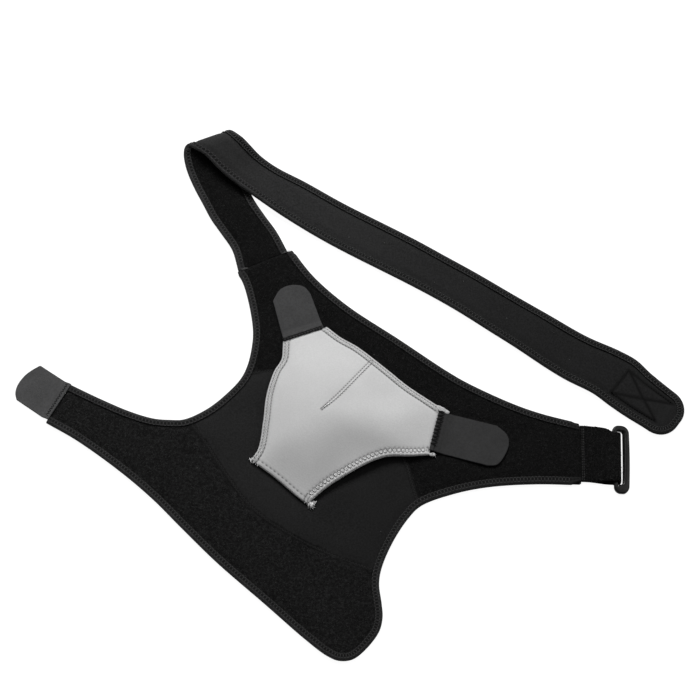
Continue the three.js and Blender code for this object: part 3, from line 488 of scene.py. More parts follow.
# --------------------------------------------------------------- mesh building
def build(name, verts, faces, mats, body="brace", smooth=True, index=None, pit_shade=None):
    """A piece from points in layout millimetres, riding on a body."""
    v = (np.asarray(verts, float) + SHIFT) * 0.001
    me = bpy.data.meshes.new(name)
    me.from_pydata(v.tolist(), [], [list(map(int, f)) for f in faces])
    for m in mats:
        me.materials.append(m)
    if index is not None:
        me.polygons.foreach_set("material_index", np.asarray(index, np.int32))
    me.polygons.foreach_set("use_smooth", np.full(len(me.polygons), smooth))
    me.update()
    bm = bmesh.new()
    bm.from_mesh(me)
    bmesh.ops.recalc_face_normals(bm, faces=bm.faces)
    bm.to_mesh(me)
    bm.free()
    # How much painted shade each point gets in needle holes and stitch grooves.
    a = me.attributes.new("pit_shade", "FLOAT", "POINT")
    a.data.foreach_set("value", np.zeros(len(me.vertices), np.float32) if pit_shade is None else np.asarray(pit_shade, np.float32))
    o = bpy.data.objects.new(name, me)
    bpy.context.scene.collection.objects.link(o)
    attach(o, body)
    return o


def grid_faces(n, m, base=0, closed=False, flip=False):
    """Quads of an n by m grid of points, row after row."""
    out = []
    mm = m if closed else m - 1
    i, j = np.meshgrid(np.arange(n - 1), np.arange(mm), indexing="ij")
    a = base + i * m + j
    b = base + i * m + (j + 1) % m
    q = np.stack([a, b, b + m, a + m], -1).reshape(-1, 4)
    return q[:, ::-1] if flip else q


class Heap:
    """Many small closed shapes joined into one mesh."""

    def __init__(self):
        self.v, self.f, self.n = [], [], 0

    def tubes(self, lines, ups, radius, sides=5, flat=1.0, taper=0.55):
        """A closed thread along each line: lines and ups are (count, points, 3)."""
        P, U = np.asarray(lines, float), np.asarray(ups, float)
        if len(P) == 0:
            return
        c, m, _ = P.shape
        T = norm(np.gradient(P, axis=1))
        B = norm(np.cross(T, U))
        U = norm(np.cross(B, T))
        r = np.full(m, float(radius))
        r[0] = r[-1] = radius * taper
        ph = np.arange(sides) * 2 * np.pi / sides
        ring = P[:, :, None] + r[None, :, None, None] * (
            np.cos(ph)[None, None, :, None] * B[:, :, None] + flat * np.sin(ph)[None, None, :, None] * U[:, :, None])
        v = ring.reshape(c, m * sides, 3)
        ends = np.stack([P[:, 0] - T[:, 0] * radius * 0.4, P[:, -1] + T[:, -1] * radius * 0.4], 1)
        self.v.append(np.concatenate([v, ends], 1).reshape(-1, 3))
        one = [tuple(q) for q in grid_faces(m, sides, closed=True)]
        s, e, last = m * sides, m * sides + 1, (m - 1) * sides
        for j in range(sides):
            one.append((s, (j + 1) % sides, j))
            one.append((e, last + j, last + (j + 1) % sides))
        per = m * sides + 2
        for k in range(c):
            o = self.n + k * per
            self.f.extend([tuple(x + o for x in q) for q in one])
        self.n += c * per

    def make(self, name, mat, body="brace", slot=None, index=None):
        return build(name, np.vstack(self.v), self.f, mat if isinstance(mat, list) else [mat], body, index=index)


def fill_outline(loop, points):
    """Triangles over an outline and the points inside it: (points, triangles)."""
    n = len(loop)
    co = [Vector((float(x), float(y))) for x, y in np.vstack([loop, points])]
    v, _, f, _, _, _ = delaunay_2d_cdt(co, [], [list(range(n))], 1, 1e-5)
    pts = np.array([(p.x, p.y) for p in v])
    tri = [t for t in f if len(t) == 3]
    return pts, np.array(tri, int)


def hex_grid(loop, step, margin):
    """Points of an even triangular grid, at least margin inside the outline."""
    lo, hi = loop.min(0), loop.max(0)
    rows = []
    for k, y in enumerate(np.arange(lo[1], hi[1], step * 0.866)):
        x = np.arange(lo[0] + (k % 2) * step / 2, hi[0], step)
        rows.append(np.column_stack([x, np.full(len(x), y)]))
    p = np.vstack(rows)
    p = p[inside(p, loop)]
    d, _ = segment_distance(p, loop, closed=True)
    return p[d > margin]


def boundary_loop(tri, pts):
    """The outline's vertex numbers of a triangulation, in order."""
    edges = {}
    for a, b, c in tri:
        for e in ((a, b), (b, c), (c, a)):
            edges[e] = edges.get(e, 0) + 1
    nxt = {a: b for (a, b) in edges if (b, a) not in edges}
    start = next(iter(nxt))
    out = [start]
    while nxt[out[-1]] != start:
        out.append(nxt[out[-1]])
    return out


def slab_mesh(pts, tri, top, bottom):
    """A closed body between two heights over a triangulated outline."""
    t = tri.copy()
    a = pts[t[:, 0]], pts[t[:, 1]], pts[t[:, 2]]
    flip = np.cross(a[1] - a[0], a[2] - a[0]) < 0
    t[flip] = t[flip][:, ::-1]
    n = len(pts)
    v = np.vstack([np.column_stack([pts, top]), np.column_stack([pts, bottom])])
    f = [tuple(x) for x in t] + [tuple(x[::-1] + n) for x in t]
    loop = boundary_loop(t, pts)
    for i, p in enumerate(loop):
        q = loop[(i + 1) % len(loop)]
        f.append((p, p + n, q + n, q))
    return v, f


# ---------------------------------------------------------------- the outlines
arm_hole = resample(catmull(ARM_HOLE_EDGE), 0.85)
top_edge = resample(catmull(TOP_EDGE), 0.85)
lower_edge = resample(catmull(LOWER_EDGE), 0.85)
BOUND = [arm_hole, top_edge, lower_edge]


def bound_distance(p):
    return np.min([segment_distance(p, resample(e, 4))[0] for e in BOUND], axis=0)


def node_outline(node, height):
    """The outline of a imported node's flat top, in layout millimetres."""
    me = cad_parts[node].data
    co = np.empty(len(me.vertices) * 3)
    me.vertices.foreach_get("co", co)
    co = co.reshape(-1, 3) * 1000 - SHIFT
    key = np.round(co, 2)
    names, inv = np.unique(key, axis=0, return_inverse=True)
    inv = np.asarray(inv).reshape(-1)
    count = {}
    for poly in me.polygons:
        ids = [inv[i] for i in poly.vertices]
        if all(abs(names[i][2] - height) < 0.05 for i in ids):
            for a, b in zip(ids, ids[1:] + ids[:1]):
                count[(a, b)] = 1
    nxt = {a: b for (a, b) in count if (b, a) not in count}
    start = next(iter(nxt))
    loop = [start]
    while nxt[loop[-1]] != start:
        loop.append(nxt[loop[-1]])
    return names[loop][:, :2]


def cover_distance(p):
    """Distance to the pad or a tab that lies on the sheet, 0 under it."""
    out = np.full(len(p), 1e9)
    for loop in COVERS:
        d, _ = segment_distance(p, loop, closed=True)
        out = np.minimum(out, np.where(inside(p, loop), 0, d))
    return out


def sheet_height(p, seed, swell):
    d = bound_distance(p)
    free = smoothstep(cover_distance(p), 1.5, 11.0)
    for rows in (ARM_SEAM, CHEST_SEAM):
        e, _ = segment_distance(p, resample(catmull(rows), 3.0))
        free = free * (0.1 + 0.9 * smoothstep(e, 2.4, 9.0))
    return SHEET_TOP + smoothstep(d, 8.0, 26.0) * swell * (lumps(p[:, 0], p[:, 1], 70.0, seed) - 0.15) + 0.62 * free * smoothstep(d, 7.2, 13.0)


PILE = {}


def panel(node, mat, seed, swell):
    """A sewn panel: flat on the table, a little uneven on top, thinner under its tape."""
    loop = resample(np.vstack([(o := node_outline(node, SHEET_TOP)), o[:1]]), 2.5)[:-1]
    inner = hex_grid(loop, 2.6, 1.6)
    pts, tri = fill_outline(loop, inner)
    d = bound_distance(pts)
    top = sheet_height(pts, seed, swell)
    bottom = (TAPE_T + GAP) * (1 - smoothstep(d, TAPE_W + GAP, TAPE_W + 4)) + 0.02
    v, f = slab_mesh(pts, tri, top, bottom)
    o = build(node + "_cloth", v, f, [mat])
    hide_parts(node)
    PILE[node] = (loop, seed, swell)
    return o, abs(area_of(loop)) * 1e-6


def fibres(name, q, place, seed, mats, slot="loop_cloth", size=2.7, rise=0.5, radius=0.14):
    """Curled fibres of loop pile. q are flat places and place(q, height) their points in space."""
    g = np.random.default_rng(seed)
    n = len(q)
    t = np.array([0.0, 0.5, 1.0])
    ang = g.uniform(0, 2 * np.pi, (n, 1)) + 0.6 * lumps(q[:, 0], q[:, 1], 18.0, seed + 1)[:, None]
    turn = g.normal(0, 1.5, (n, 1))
    L = size * g.uniform(0.55, 1.15, (n, 1))
    step = ang + turn * t
    x = q[:, :1] + np.cumsum(np.cos(step), 1) * L / 3
    y = q[:, 1:2] + np.cumsum(np.sin(step), 1) * L / 3
    h = rise * g.uniform(0.6, 1.3, (n, 1)) * np.array([-0.1, 1.0, -0.1])
    P = place(np.column_stack([x.ravel(), y.ravel()]), h.ravel()).reshape(n, 3, 3)
    heap = Heap()
    heap.tubes(P, up_like(P), radius, sides=3, taper=0.6)
    pale = np.repeat(g.random(n) < 0.4, 12)          # 6 sides and 6 ends of each fibre
    o = heap.make(name, list(mats), slot=slot, index=pale.astype(int))
    return o


def panel_pile(node, count, seed, mats):
    """Loop pile over what shows of a panel."""
    loop, sheet_seed, swell = PILE[node]
    g = np.random.default_rng(seed)
    lo, hi = loop.min(0), loop.max(0)
    q = g.uniform(lo, hi, (int(count * (hi - lo).prod() / abs(area_of(loop)) * 1.6), 2))
    q = q[inside(q, loop)]
    q = q[(bound_distance(q) > 8.6) & (cover_distance(q) > 1.0)]
    for rows in (ARM_SEAM, CHEST_SEAM):
        e, _ = segment_distance(q, resample(catmull(rows), 3.0))
        q = q[e > 3.6]
    q = q[:count]
    return fibres(node + "_pile", q, lambda p, h: np.column_stack([p, sheet_height(p, sheet_seed, swell) + h]), seed + 5, mats)


# ------------------------------------------------------------------ edge tapes
def tape_profile(pit_shade=0.0):
    """Outer and inner line of folded tape: a outward, b up, from under the cloth to over it."""
    h = EDGE_T / 2
    flange = np.array([0.0, 0.55, 1.2, 1.9, 2.6, 3.3, 4.0, 4.7, 5.3])
    low = [(-TAPE_W + x, -h) for x in flange]
    nose = [(-2.0 + 2.0 * math.cos(t), h * math.sin(t)) for t in np.linspace(-1.35, 1.35, 9)]
    crown = 0.12 * np.sin(np.clip((flange - 0.4) / 4.9, 0, 1) * np.pi)
    lip = -0.28 * np.exp(-(flange / 0.5) ** 2)
    high = [(-TAPE_W + x, h + c + l) for x, c, l in zip(flange, crown, lip)][::-1]
    outer = np.array(low + nose + high)
    mid = np.array([-(TAPE_W + 2.0) / 2, 0.0])
    inner = []
    for a, b in outer:
        if a < -2.0:
            inner.append((a, math.copysign(h - TAPE_T, b)))
        else:
            inner.append((-2.0 + (a + 2.0) * 0.62, b * (h - TAPE_T) / h))
    return outer, np.array(inner)


OUTER, INNER = tape_profile()


TAPE_PITCH, TAPE_ROWS, TAPE_RAILS = 3.4, ((-4.7, 0.0),), (-2.9, -6.5)


def tape_mesh(place, n, pitch, rows, depth, step):
    """Folded tape carried along n stations. place(i, a, b) gives points; pits sink at the stitches and get painted
    shade.
    """
    k = len(OUTER)
    i = np.repeat(np.arange(n), k)
    a = np.tile(OUTER[:, 0], n)
    b = np.tile(OUTER[:, 1], n)
    s = i * step
    sink, dark = 0, 0
    for row, phase in rows:
        near = np.exp(-((a - row) / 1.15) ** 2)
        hole = np.exp(-(((s / pitch + phase + 0.5) % 1 - 0.5) / 0.27) ** 2)
        sink = sink + near * (0.25 + 0.75 * hole)
        dark = dark + 1.5 * near * (0.12 + 0.88 * hole)
    flat = np.abs(b) > EDGE_T / 2 - 0.6
    dark = np.clip(dark, 0, 1) * flat
    # Painted contact shade along the tape's inner edge, where it meets the cloth.
    dark = np.maximum(dark, 0.95 * np.exp(-((a + TAPE_W) / 0.6) ** 2))
    b = b - np.sign(b) * depth * sink * flat
    outer = place(i, a, b)
    # The side against the cloth needs fewer stations than the side that shows.
    few = sorted(set(list(range(0, n, 4)) + [n - 1]))
    m = len(few)
    inner = place(np.repeat(few, k), np.tile(INNER[:, 0], m), np.tile(INNER[:, 1], m))
    f = list(grid_faces(n, k, flip=False)) + list(grid_faces(m, k, base=n * k, flip=True))
    for c in range(m - 1):
        p, q = n * k + c * k, n * k + (c + 1) * k
        run = [st * k for st in range(few[c], few[c + 1] + 1)]
        f.append(tuple(run + [q, p]))
        f.append(tuple([x + k - 1 for x in run[::-1]] + [p + k - 1, q + k - 1]))
    for st, c, turn in ((0, 0, True), (n - 1, m - 1, False)):
        for j in range(k - 1):
            g = [st * k + j, st * k + j + 1, n * k + c * k + j + 1, n * k + c * k + j]
            f.append(tuple(g if turn else g[::-1]))
    return np.vstack([outer, inner]), f, np.concatenate([dark, np.zeros(m * k)])


def edge_tape(node, path, start_line, end_line, cuts):
    n = len(path)
    u = left(tangents(path))
    for idx, line in ((0, start_line), (n - 1, end_line)):
        line = np.asarray(line)
        u[idx] = line / (line @ u[idx])

    run = arc(path)
    back = 0
    for (long, deep, power), e in zip(cuts, (run, run[-1] - run)):
        back = back + deep * np.clip(1 - e / long, 0, 1) ** power

    def place(i, a, b):
        a = -TAPE_W + (a + TAPE_W) * (1 - 0.85 * back[i] / TAPE_W)
        p = path[i] + a[:, None] * u[i]
        return np.column_stack([p, b + EDGE_T / 2 + TAPE_CLEAR])

    v, f, pit_shade = tape_mesh(place, n, TAPE_PITCH, TAPE_ROWS, 0.42, arc(path)[-1] / (n - 1))
    o = build(node + "_cloth", v, f, [TAPE], pit_shade=pit_shade)
    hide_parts(node)
    return o, u


def zigzag(place, length, pitch, row_a, row_b, lift=0.16, dip=-0.22, start=1.5, end=1.5, jitter=0.0):
    """Thread lines between two rows. place(s, a, z) gives points on the surface."""
    n = int((length - start - end) / pitch)
    s0 = start + np.arange(n) * pitch
    out = []
    for sa, ra, sb, rb in ((s0, row_a, s0 + pitch / 2, row_b), (s0 + pitch / 2, row_b, s0 + pitch, row_a)):
        t = np.array([0.0, 0.25, 0.5, 0.75, 1.0])
        s = sa[:, None] + (sb - sa)[:, None] * t
        a = ra + (rb - ra) * t[None] + np.zeros_like(s)
        z = dip + (lift - dip) * np.sin(np.pi * t)[None] ** 0.7 + np.zeros_like(s)
        if jitter:
            a = a + RNG.normal(0, jitter, (n, 1))
        out.append((s, a, z))
    s, a, z = (np.concatenate(q) for q in zip(*out))
    P = place(s.ravel(), a.ravel(), z.ravel()).reshape(*s.shape, 3)
    return P


def chain(length, pitch, row_a, row_b, lift, dip, start, end):
    """A chain stitch in flat places (s, a, z): a rung between two hollows, a rail each side of one."""
    n = int((length - start - end) / pitch) - 1
    s0 = (np.ceil(start / pitch) + np.arange(n)) * pitch
    s0 = s0[s0 < length - end - pitch]
    t = np.array([0.0, 0.25, 0.5, 0.75, 1.0])
    bow = np.sin(np.pi * t)
    out = []
    for sa, sb, ra, rb, belly in ((0.5, 0.5, row_a, row_b, 0.0), (0.56, 1.44, row_a, row_a, 0.45), (0.56, 1.44, row_b, row_b, -0.45)):
        q = s0[:, None] + pitch * (sa + (sb - sa) * t)[None]
        a = ra + (rb - ra) * t[None] + belly * bow[None] + np.zeros_like(q)
        z = dip + (lift - dip) * bow[None] ** 0.7 + np.zeros_like(q)
        out.append((q, a + RNG.normal(0, 0.08, (len(s0), 1)), z))
    return tuple(np.concatenate(x) for x in zip(*out))


def dashes(place, length, pitch, row, share=0.6, lift=0.14, dip=-0.2, start=1.5, end=1.5):
    """A running stitch along one row."""
    n = int((length - start - end) / pitch)
    s0 = start + np.arange(n) * pitch
    t = np.array([0.0, 0.3, 0.7, 1.0])
    s = s0[:, None] + pitch * share * t
    a = np.full_like(s, row)
    z = dip + (lift - dip) * np.sin(np.pi * t)[None] ** 0.6 + np.zeros_like(s)
    return place(s.ravel(), a.ravel(), z.ravel()).reshape(*s.shape, 3)


def along(path, u):
    """place() for threads on the tape of a flat edge: s along, a outward, z off the tape."""
    run = arc(path)

    def place(s, a, z):
        p = np.column_stack([np.interp(s, run, path[:, k]) for k in range(2)])
        w = norm(np.column_stack([np.interp(s, run, u[:, k]) for k in range(2)]))
        return np.column_stack([p + a[:, None] * w, EDGE_T + TAPE_CLEAR + z])
    return place, run[-1]


def up_like(P):
    U = np.zeros_like(P)
    U[..., 2] = 1
    return U


# ----------------------------------------------------------------- the strap
_L, _R = catmull(STRAP_ROWS[:, :3]), catmull(STRAP_ROWS[:, 3:])
_C = (_L + _R) / 2
_W = norm(_R - _L)
_HALF = np.linalg.norm(_R - _L, axis=1) / 2
_A = arc(_C)
_T = norm(np.concatenate([_C[1:2] - _C[:1], _C[2:] - _C[:-2], _C[-1:] - _C[-2:-1]]))
_N = norm(np.cross(_W, _T))
STRAP_LENGTH = float(_A[-1])


def strap_wave(a, b):
    """How far the long leg stands off the table in its slack waves."""
    out = 0
    for at, width, rise, skew in ((392.0, 26.0, 1.1, 0.25), (468.0, 34.0, 1.5, -0.3), (545.0, 24.0, 1.2, 0.35), (612.0, 22.0, 0.9, -0.2)):
        out = out + rise * np.exp(-((a - at - skew * b) / width) ** 2)
    return out


def on_strap(a, b, n):
    a = np.asarray(a, float)
    q = np.clip(a, 0, STRAP_LENGTH)
    c = np.column_stack([np.interp(q, _A, _C[:, k]) for k in range(3)])
    w = norm(np.column_stack([np.interp(q, _A, _W[:, k]) for k in range(3)]))
    m = norm(np.column_stack([np.interp(q, _A, _N[:, k]) for k in range(3)]))
    p = c + np.asarray(b)[:, None] * w + np.asarray(n)[:, None] * m
    p[:, 2] += strap_wave(q, np.asarray(b))
    return p


def strap_half(a, d):
    r = TIP_CORNER - d
    e = STRAP_LENGTH - d - a
    cut = np.where(e < r, r - np.sqrt(np.maximum(0, r * r - (r - np.clip(e, 0, r)) ** 2)), 0)
    return np.interp(np.minimum(a, STRAP_LENGTH), _A, _HALF) - d - cut


BOX = {"from": 71.6, "to": 20.0, "half": (15.6, 12.8)}      # the crossed seam, back from the end line


def strap_lines():
    """The crossed seam's lines in flat strap places: (a, b) from and to."""
    a0, a1, (h0, h1) = STRAP_LENGTH - BOX["from"], STRAP_LENGTH - BOX["to"], BOX["half"]
    c = [(a0 - 2.6, -h0 - 1.5), (a0 + 1.5, h0 - 2.0), (a1 + 4.3, h1), (a1, -h1)]
    return [(c[0], c[1]), (c[1], c[2]), (c[3], c[0]), (c[0], c[2]), (c[1], c[3])]


def strap_cloth():
    d = TAPE_T + 3 * GAP
    end = STRAP_LENGTH - d
    r = TIP_CORNER - d
    a = np.concatenate([np.arange(0.0, end - r, 1.6), end - r * (1 - np.sin(np.linspace(0, 1, 16) * np.pi / 2))])
    a[-1] -= 0.02
    cols = 37
    s = np.linspace(-1, 1, cols)
    s = np.sign(s) * (1 - (1 - np.abs(s)) ** 1.15)
    n, t = len(a), SHEET_T / 2
    A = np.repeat(a, cols)
    B = np.repeat(strap_half(a, d), cols) * np.tile(s, n)
    edge = np.exp(-((1 - np.abs(np.tile(s, n))) / 0.02) ** 2)
    groove = 0
    flat = np.column_stack([A, B])
    for p, q in strap_lines():
        g, _ = segment_distance(flat, np.array([p, q], float))
        groove = np.maximum(groove, np.exp(-(g / 1.3) ** 2))
    quilt = 0.45 * groove
    rim = np.minimum(np.repeat(strap_half(a, 0), cols) - np.abs(B), STRAP_LENGTH - A)
    puff = 0.8 * smoothstep(rim, 7.3, 14.0) * smoothstep(A, 1.0, 9.0)
    over_patch = smoothstep(A, STRAP_LENGTH - 100, STRAP_LENGTH - 88)
    up = on_strap(A, B, t + puff * (1 - over_patch) - 0.1 * edge - 0.3 * quilt)
    down = on_strap(A, B, -t - puff + 0.1 * edge + 1.7 * quilt)
    k = n * cols
    f = list(grid_faces(n, cols)) + list(grid_faces(n, cols, base=k, flip=True))
    idx = [0] * ((n - 1) * (cols - 1)) + [1] * ((n - 1) * (cols - 1))
    for i in range(n - 1):
        p, q = i * cols, (i + 1) * cols
        f.append((p, q, q + k, p + k))
        f.append((p + cols - 1, p + cols - 1 + k, q + cols - 1 + k, q + cols - 1))
        idx += [1, 1]
    for i, turn in ((0, False), (n - 1, True)):
        for j in range(cols - 1):
            c = [i * cols + j, i * cols + j + 1, k + i * cols + j + 1, k + i * cols + j]
            f.append(tuple(c if not turn else c[::-1]))
            idx.append(1)
    line = 0
    for p, q in strap_lines():
        g, _ = segment_distance(flat, np.array([p, q], float))
        line = np.maximum(line, np.exp(-(g / 1.4) ** 2))
    # The crossed seam's grooves on the jersey face get painted shade.
    o = build("chest_strap_cloth", np.vstack([up, down]), f, [LOOP_SHADED, JERSEY_STRAP_LIT], index=idx,
              pit_shade=np.concatenate([0 * line, line]))
    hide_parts("chest_strap")
    return o


def strap_route():
    """The strap's edge all round in flat places, with its outward direction."""
    a = np.concatenate([np.arange(0, STRAP_LENGTH - TIP_CORNER, 1.0),
                        STRAP_LENGTH - TIP_CORNER * (1 - np.sin(np.linspace(0, 1, 60) * np.pi / 2))])
    h = strap_half(a, 0)
    h[-1] = max(h[-1], 0.3)
    path = np.vstack([np.column_stack([a, -h]), np.column_stack([a, h])[::-1]])
    path = resample(path, 0.85)
    return path, -left(tangents(path))


def strap_tape():
    path, u = strap_route()
    n = len(path)
    u[0], u[-1] = (0, -1), (0, 1)

    def place(i, a, b):
        q = path[i] + a[:, None] * u[i]
        return on_strap(q[:, 0], q[:, 1], b)

    v, f, pit_shade = tape_mesh(place, n, TAPE_PITCH, TAPE_ROWS, 0.42, arc(path)[-1] / (n - 1))
    o = build("strap_binding_cloth", v, f, [TAPE], pit_shade=pit_shade)
    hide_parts("strap_binding")

    run = arc(path)

    def stitch(side):
        def at(s, a, z):
            p = np.column_stack([np.interp(s, run, path[:, k]) for k in range(2)])
            w = norm(np.column_stack([np.interp(s, run, u[:, k]) for k in range(2)]))
            q = p + a[:, None] * w
            return on_strap(q[:, 0], q[:, 1], side * (EDGE_T / 2 + z))
        return at
    return o, stitch, run[-1]


# -------------------------------------------------------------------- the pad
def pad_side(k, step=0.85):
    rows = PAD_SIDES[k][3]
    return resample(catmull(rows), step) if len(rows) > 2 else resample(np.array(rows, float), step)


TEETH = {0: (3.0, 0.55), 2: (3.8, 1.1)}     # side: pitch and reach of a sewn end's teeth


def pad_rim():
    """The pad's outline with each point's side and lift."""
    pts, side, lift = [], [], []
    for k, (_, rise, kind, rows) in enumerate(PAD_SIDES):
        path = pad_side(k)
        a = arc(path)
        if k in TEETH:
            pitch, reach = TEETH[k]
            path = resample(path, pitch / 6)
            a = arc(path)
            wave = np.abs((a / pitch) % 1 - 0.5) * 2
            path = path + left(tangents(path)) * (reach * (wave - 0.35) * smoothstep(a, 0, 2) * smoothstep(a[-1] - a, 0, 2))[:, None]
        pts.append(path)
        side.append(np.full(len(path), k))
        lift.append(rise * np.sin(np.pi * a / a[-1]))
    pts, side, lift = np.vstack(pts), np.concatenate(side), np.concatenate(lift)
    gap = np.linalg.norm(pts - np.roll(pts, -1, 0), axis=1)
    keep = gap > 0.05
    return pts[keep], side[keep], lift[keep]


RIM, RIM_SIDE, RIM_LIFT = pad_rim()


def pad_height():
    """The pad's underside over a 2 mm grid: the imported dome, its corners eased."""
    step = 2.0
    lo = RIM.min(0) - 6
    nx, ny = np.ceil((RIM.max(0) + 6 - lo) / step).astype(int) + 1
    X, Y = np.meshgrid(lo[0] + step * np.arange(nx), lo[1] + step * np.arange(ny), indexing="ij")
    P = np.column_stack([X.ravel(), Y.ravel()])
    rel = P - PAD_CENTRE
    ang = np.arctan2(rel[:, 1], rel[:, 0])
    rim = RIM - PAD_CENTRE
    ra, rr = np.arctan2(rim[:, 1], rim[:, 0]), np.linalg.norm(rim, axis=1)
    o = np.argsort(ra)
    ra, rr, rl = ra[o], rr[o], RIM_LIFT[o]
    ra = np.concatenate([ra - 2 * np.pi, ra, ra + 2 * np.pi])
    rr, rl = np.tile(rr, 3), np.tile(rl, 3)
    reach, lift = np.interp(ang, ra, rr), np.interp(ang, ra, rl)
    t = np.linalg.norm(rel, axis=1) / reach
    h = lift * np.minimum(t, 1) ** 3 + PAD_RISE * np.clip(1 - t * t, 0, 1) ** 1.35
    hold = (t >= 1.0).reshape(nx, ny)
    H = h.reshape(nx, ny)
    keep = H.copy()
    for _ in range(46):
        S = H.copy()
        S[1:-1, 1:-1] = 0.25 * (H[2:, 1:-1] + H[:-2, 1:-1] + H[1:-1, 2:] + H[1:-1, :-2])
        H = np.where(hold, keep, S)
    # The pad sags a little right of its crown, and its crown is flattened.
    for x, y, rx, ry, deep in ((38.0, -24.0, 22.0, 20.0, 3.0), (-8.0, -26.0, 18.0, 14.0, 1.2)):
        sag = deep * np.exp(-((X - x) / rx) ** 2 - ((Y - y) / ry) ** 2)
        H = H - sag * np.clip(1 - t.reshape(nx, ny) ** 4, 0, 1)
    return lo, step, H


PAD_LO, PAD_STEP, PAD_H = pad_height()


def pad_field(p):
    q = (np.asarray(p) - PAD_LO) / PAD_STEP
    i = np.clip(np.floor(q).astype(int), 0, np.array(PAD_H.shape) - 2)
    f = np.clip(q - i, 0, 1)
    H = PAD_H
    a, b = H[i[:, 0], i[:, 1]], H[i[:, 0] + 1, i[:, 1]]
    c, d = H[i[:, 0], i[:, 1] + 1], H[i[:, 0] + 1, i[:, 1] + 1]
    return (a * (1 - f[:, 0]) + b * f[:, 0]) * (1 - f[:, 1]) + (c * (1 - f[:, 0]) + d * f[:, 0]) * f[:, 1]


DART_PATH = resample(catmull(DART), 0.8)


HEM_PITCH, LOOP_PITCH, FLAT_PITCH, DART_PITCH = 3.3, 4.1, 5.0, 3.0


def holes(e, s, row, pitch, phase, wide, long, run=0.0):
    """1 at each needle hole of a row, falling off round it; run is how dark the row is between."""
    a = np.exp(-((e - row) / wide) ** 2)
    b = np.exp(-(((s / pitch + phase + 0.5) % 1 - 0.5) * pitch / long) ** 2)
    return a * (run + (1 - run) * b)


def pad_pits(p):
    """How much painted shade the needle holes and stitch shadows get on the pad's upper face."""
    out = np.zeros(len(p))
    for k, (_, _, kind, _) in enumerate(PAD_SIDES):
        e, s = segment_distance(p, pad_side(k, 2.0))
        if kind == "hem":
            out = np.maximum(out, 0.95 * holes(e, s, 2.3, HEM_PITCH, 0.0, 0.8, 0.85, 0.25))
            out = np.maximum(out, 0.3 * np.exp(-((e - 4.1) / 1.2) ** 2))
            out = np.maximum(out, holes(e, s, 6.0, HEM_PITCH, 0.5, 0.72, 0.9, 0.35))
        elif kind == "rolled":
            x = ((s / LOOP_PITCH) % 1 - 0.5) * LOOP_PITCH / 1.45
            y = (e - 5.2 + 0.25 * x) / 2.0
            out = np.maximum(out, 0.75 * np.exp(-((np.sqrt(x * x + y * y) - 1) / 0.26) ** 2))
        elif kind == "flat":
            out = np.maximum(out, 0.85 * holes(e, s, 4.2, FLAT_PITCH, 0.0, 0.6, 1.25))
    g, s = segment_distance(p, DART_PATH)
    run = arc(DART_PATH)[-1]
    squeeze = 1 - 0.45 * smoothstep(s, run - 22, run)
    out = np.maximum(out, holes(g, s, 1.5 * squeeze, DART_PITCH, 0.0, 0.72, 0.82, 0.1) * (s < run - 0.5))
    return out


def pad_relief(p):
    """Hems, rolled rim and dart on the pad's upper face, and its edges' rounding."""
    d, _ = segment_distance(p, RIM, closed=True)
    z = -0.3 * pad_pits(p)
    for k, (_, _, kind, _) in enumerate(PAD_SIDES):
        e, s = segment_distance(p, pad_side(k, 2.0))
        if kind == "hem":
            z = z + 0.5 * (1 - smoothstep(e, 5.7, 6.6))
            z = z - 0.45 * np.exp(-((e - 6.7) / 0.7) ** 2) - 0.15 * np.exp(-((e - 2.4) / 0.7) ** 2)
        elif kind == "rolled":
            z = z - 0.4 * np.exp(-((e - 5.2) / 2.2) ** 2) + 0.35 * np.exp(-((e - 2.0) / 1.4) ** 2)
            x = ((s / LOOP_PITCH) % 1 - 0.5) * LOOP_PITCH
            z = z + 0.32 * np.exp(-(((e - 5.2) / 1.5) ** 2 + (x / 1.0) ** 2))
        elif kind == "flat":
            z = z - 0.2 * np.exp(-((e - 4.2) / 1.2) ** 2) - 0.35 * (1 - smoothstep(e, 0.0, 4.0))
        elif kind == "sewn":
            z = z - 0.7 * (1 - smoothstep(e, 0.0, 4.5))
    g, s = segment_distance(p, DART_PATH)
    run = arc(DART_PATH)[-1]
    fade = 1 - smoothstep(s, run - 8, run + 2)
    z = z + (0.16 * np.exp(-(g / 0.7) ** 2) - 0.3 * np.exp(-(g / 5.0) ** 2)) * fade
    r = 1.4
    z = z - np.where(d < r, r - np.sqrt(np.maximum(0, r * r - (r - d) ** 2)), 0)
    return z


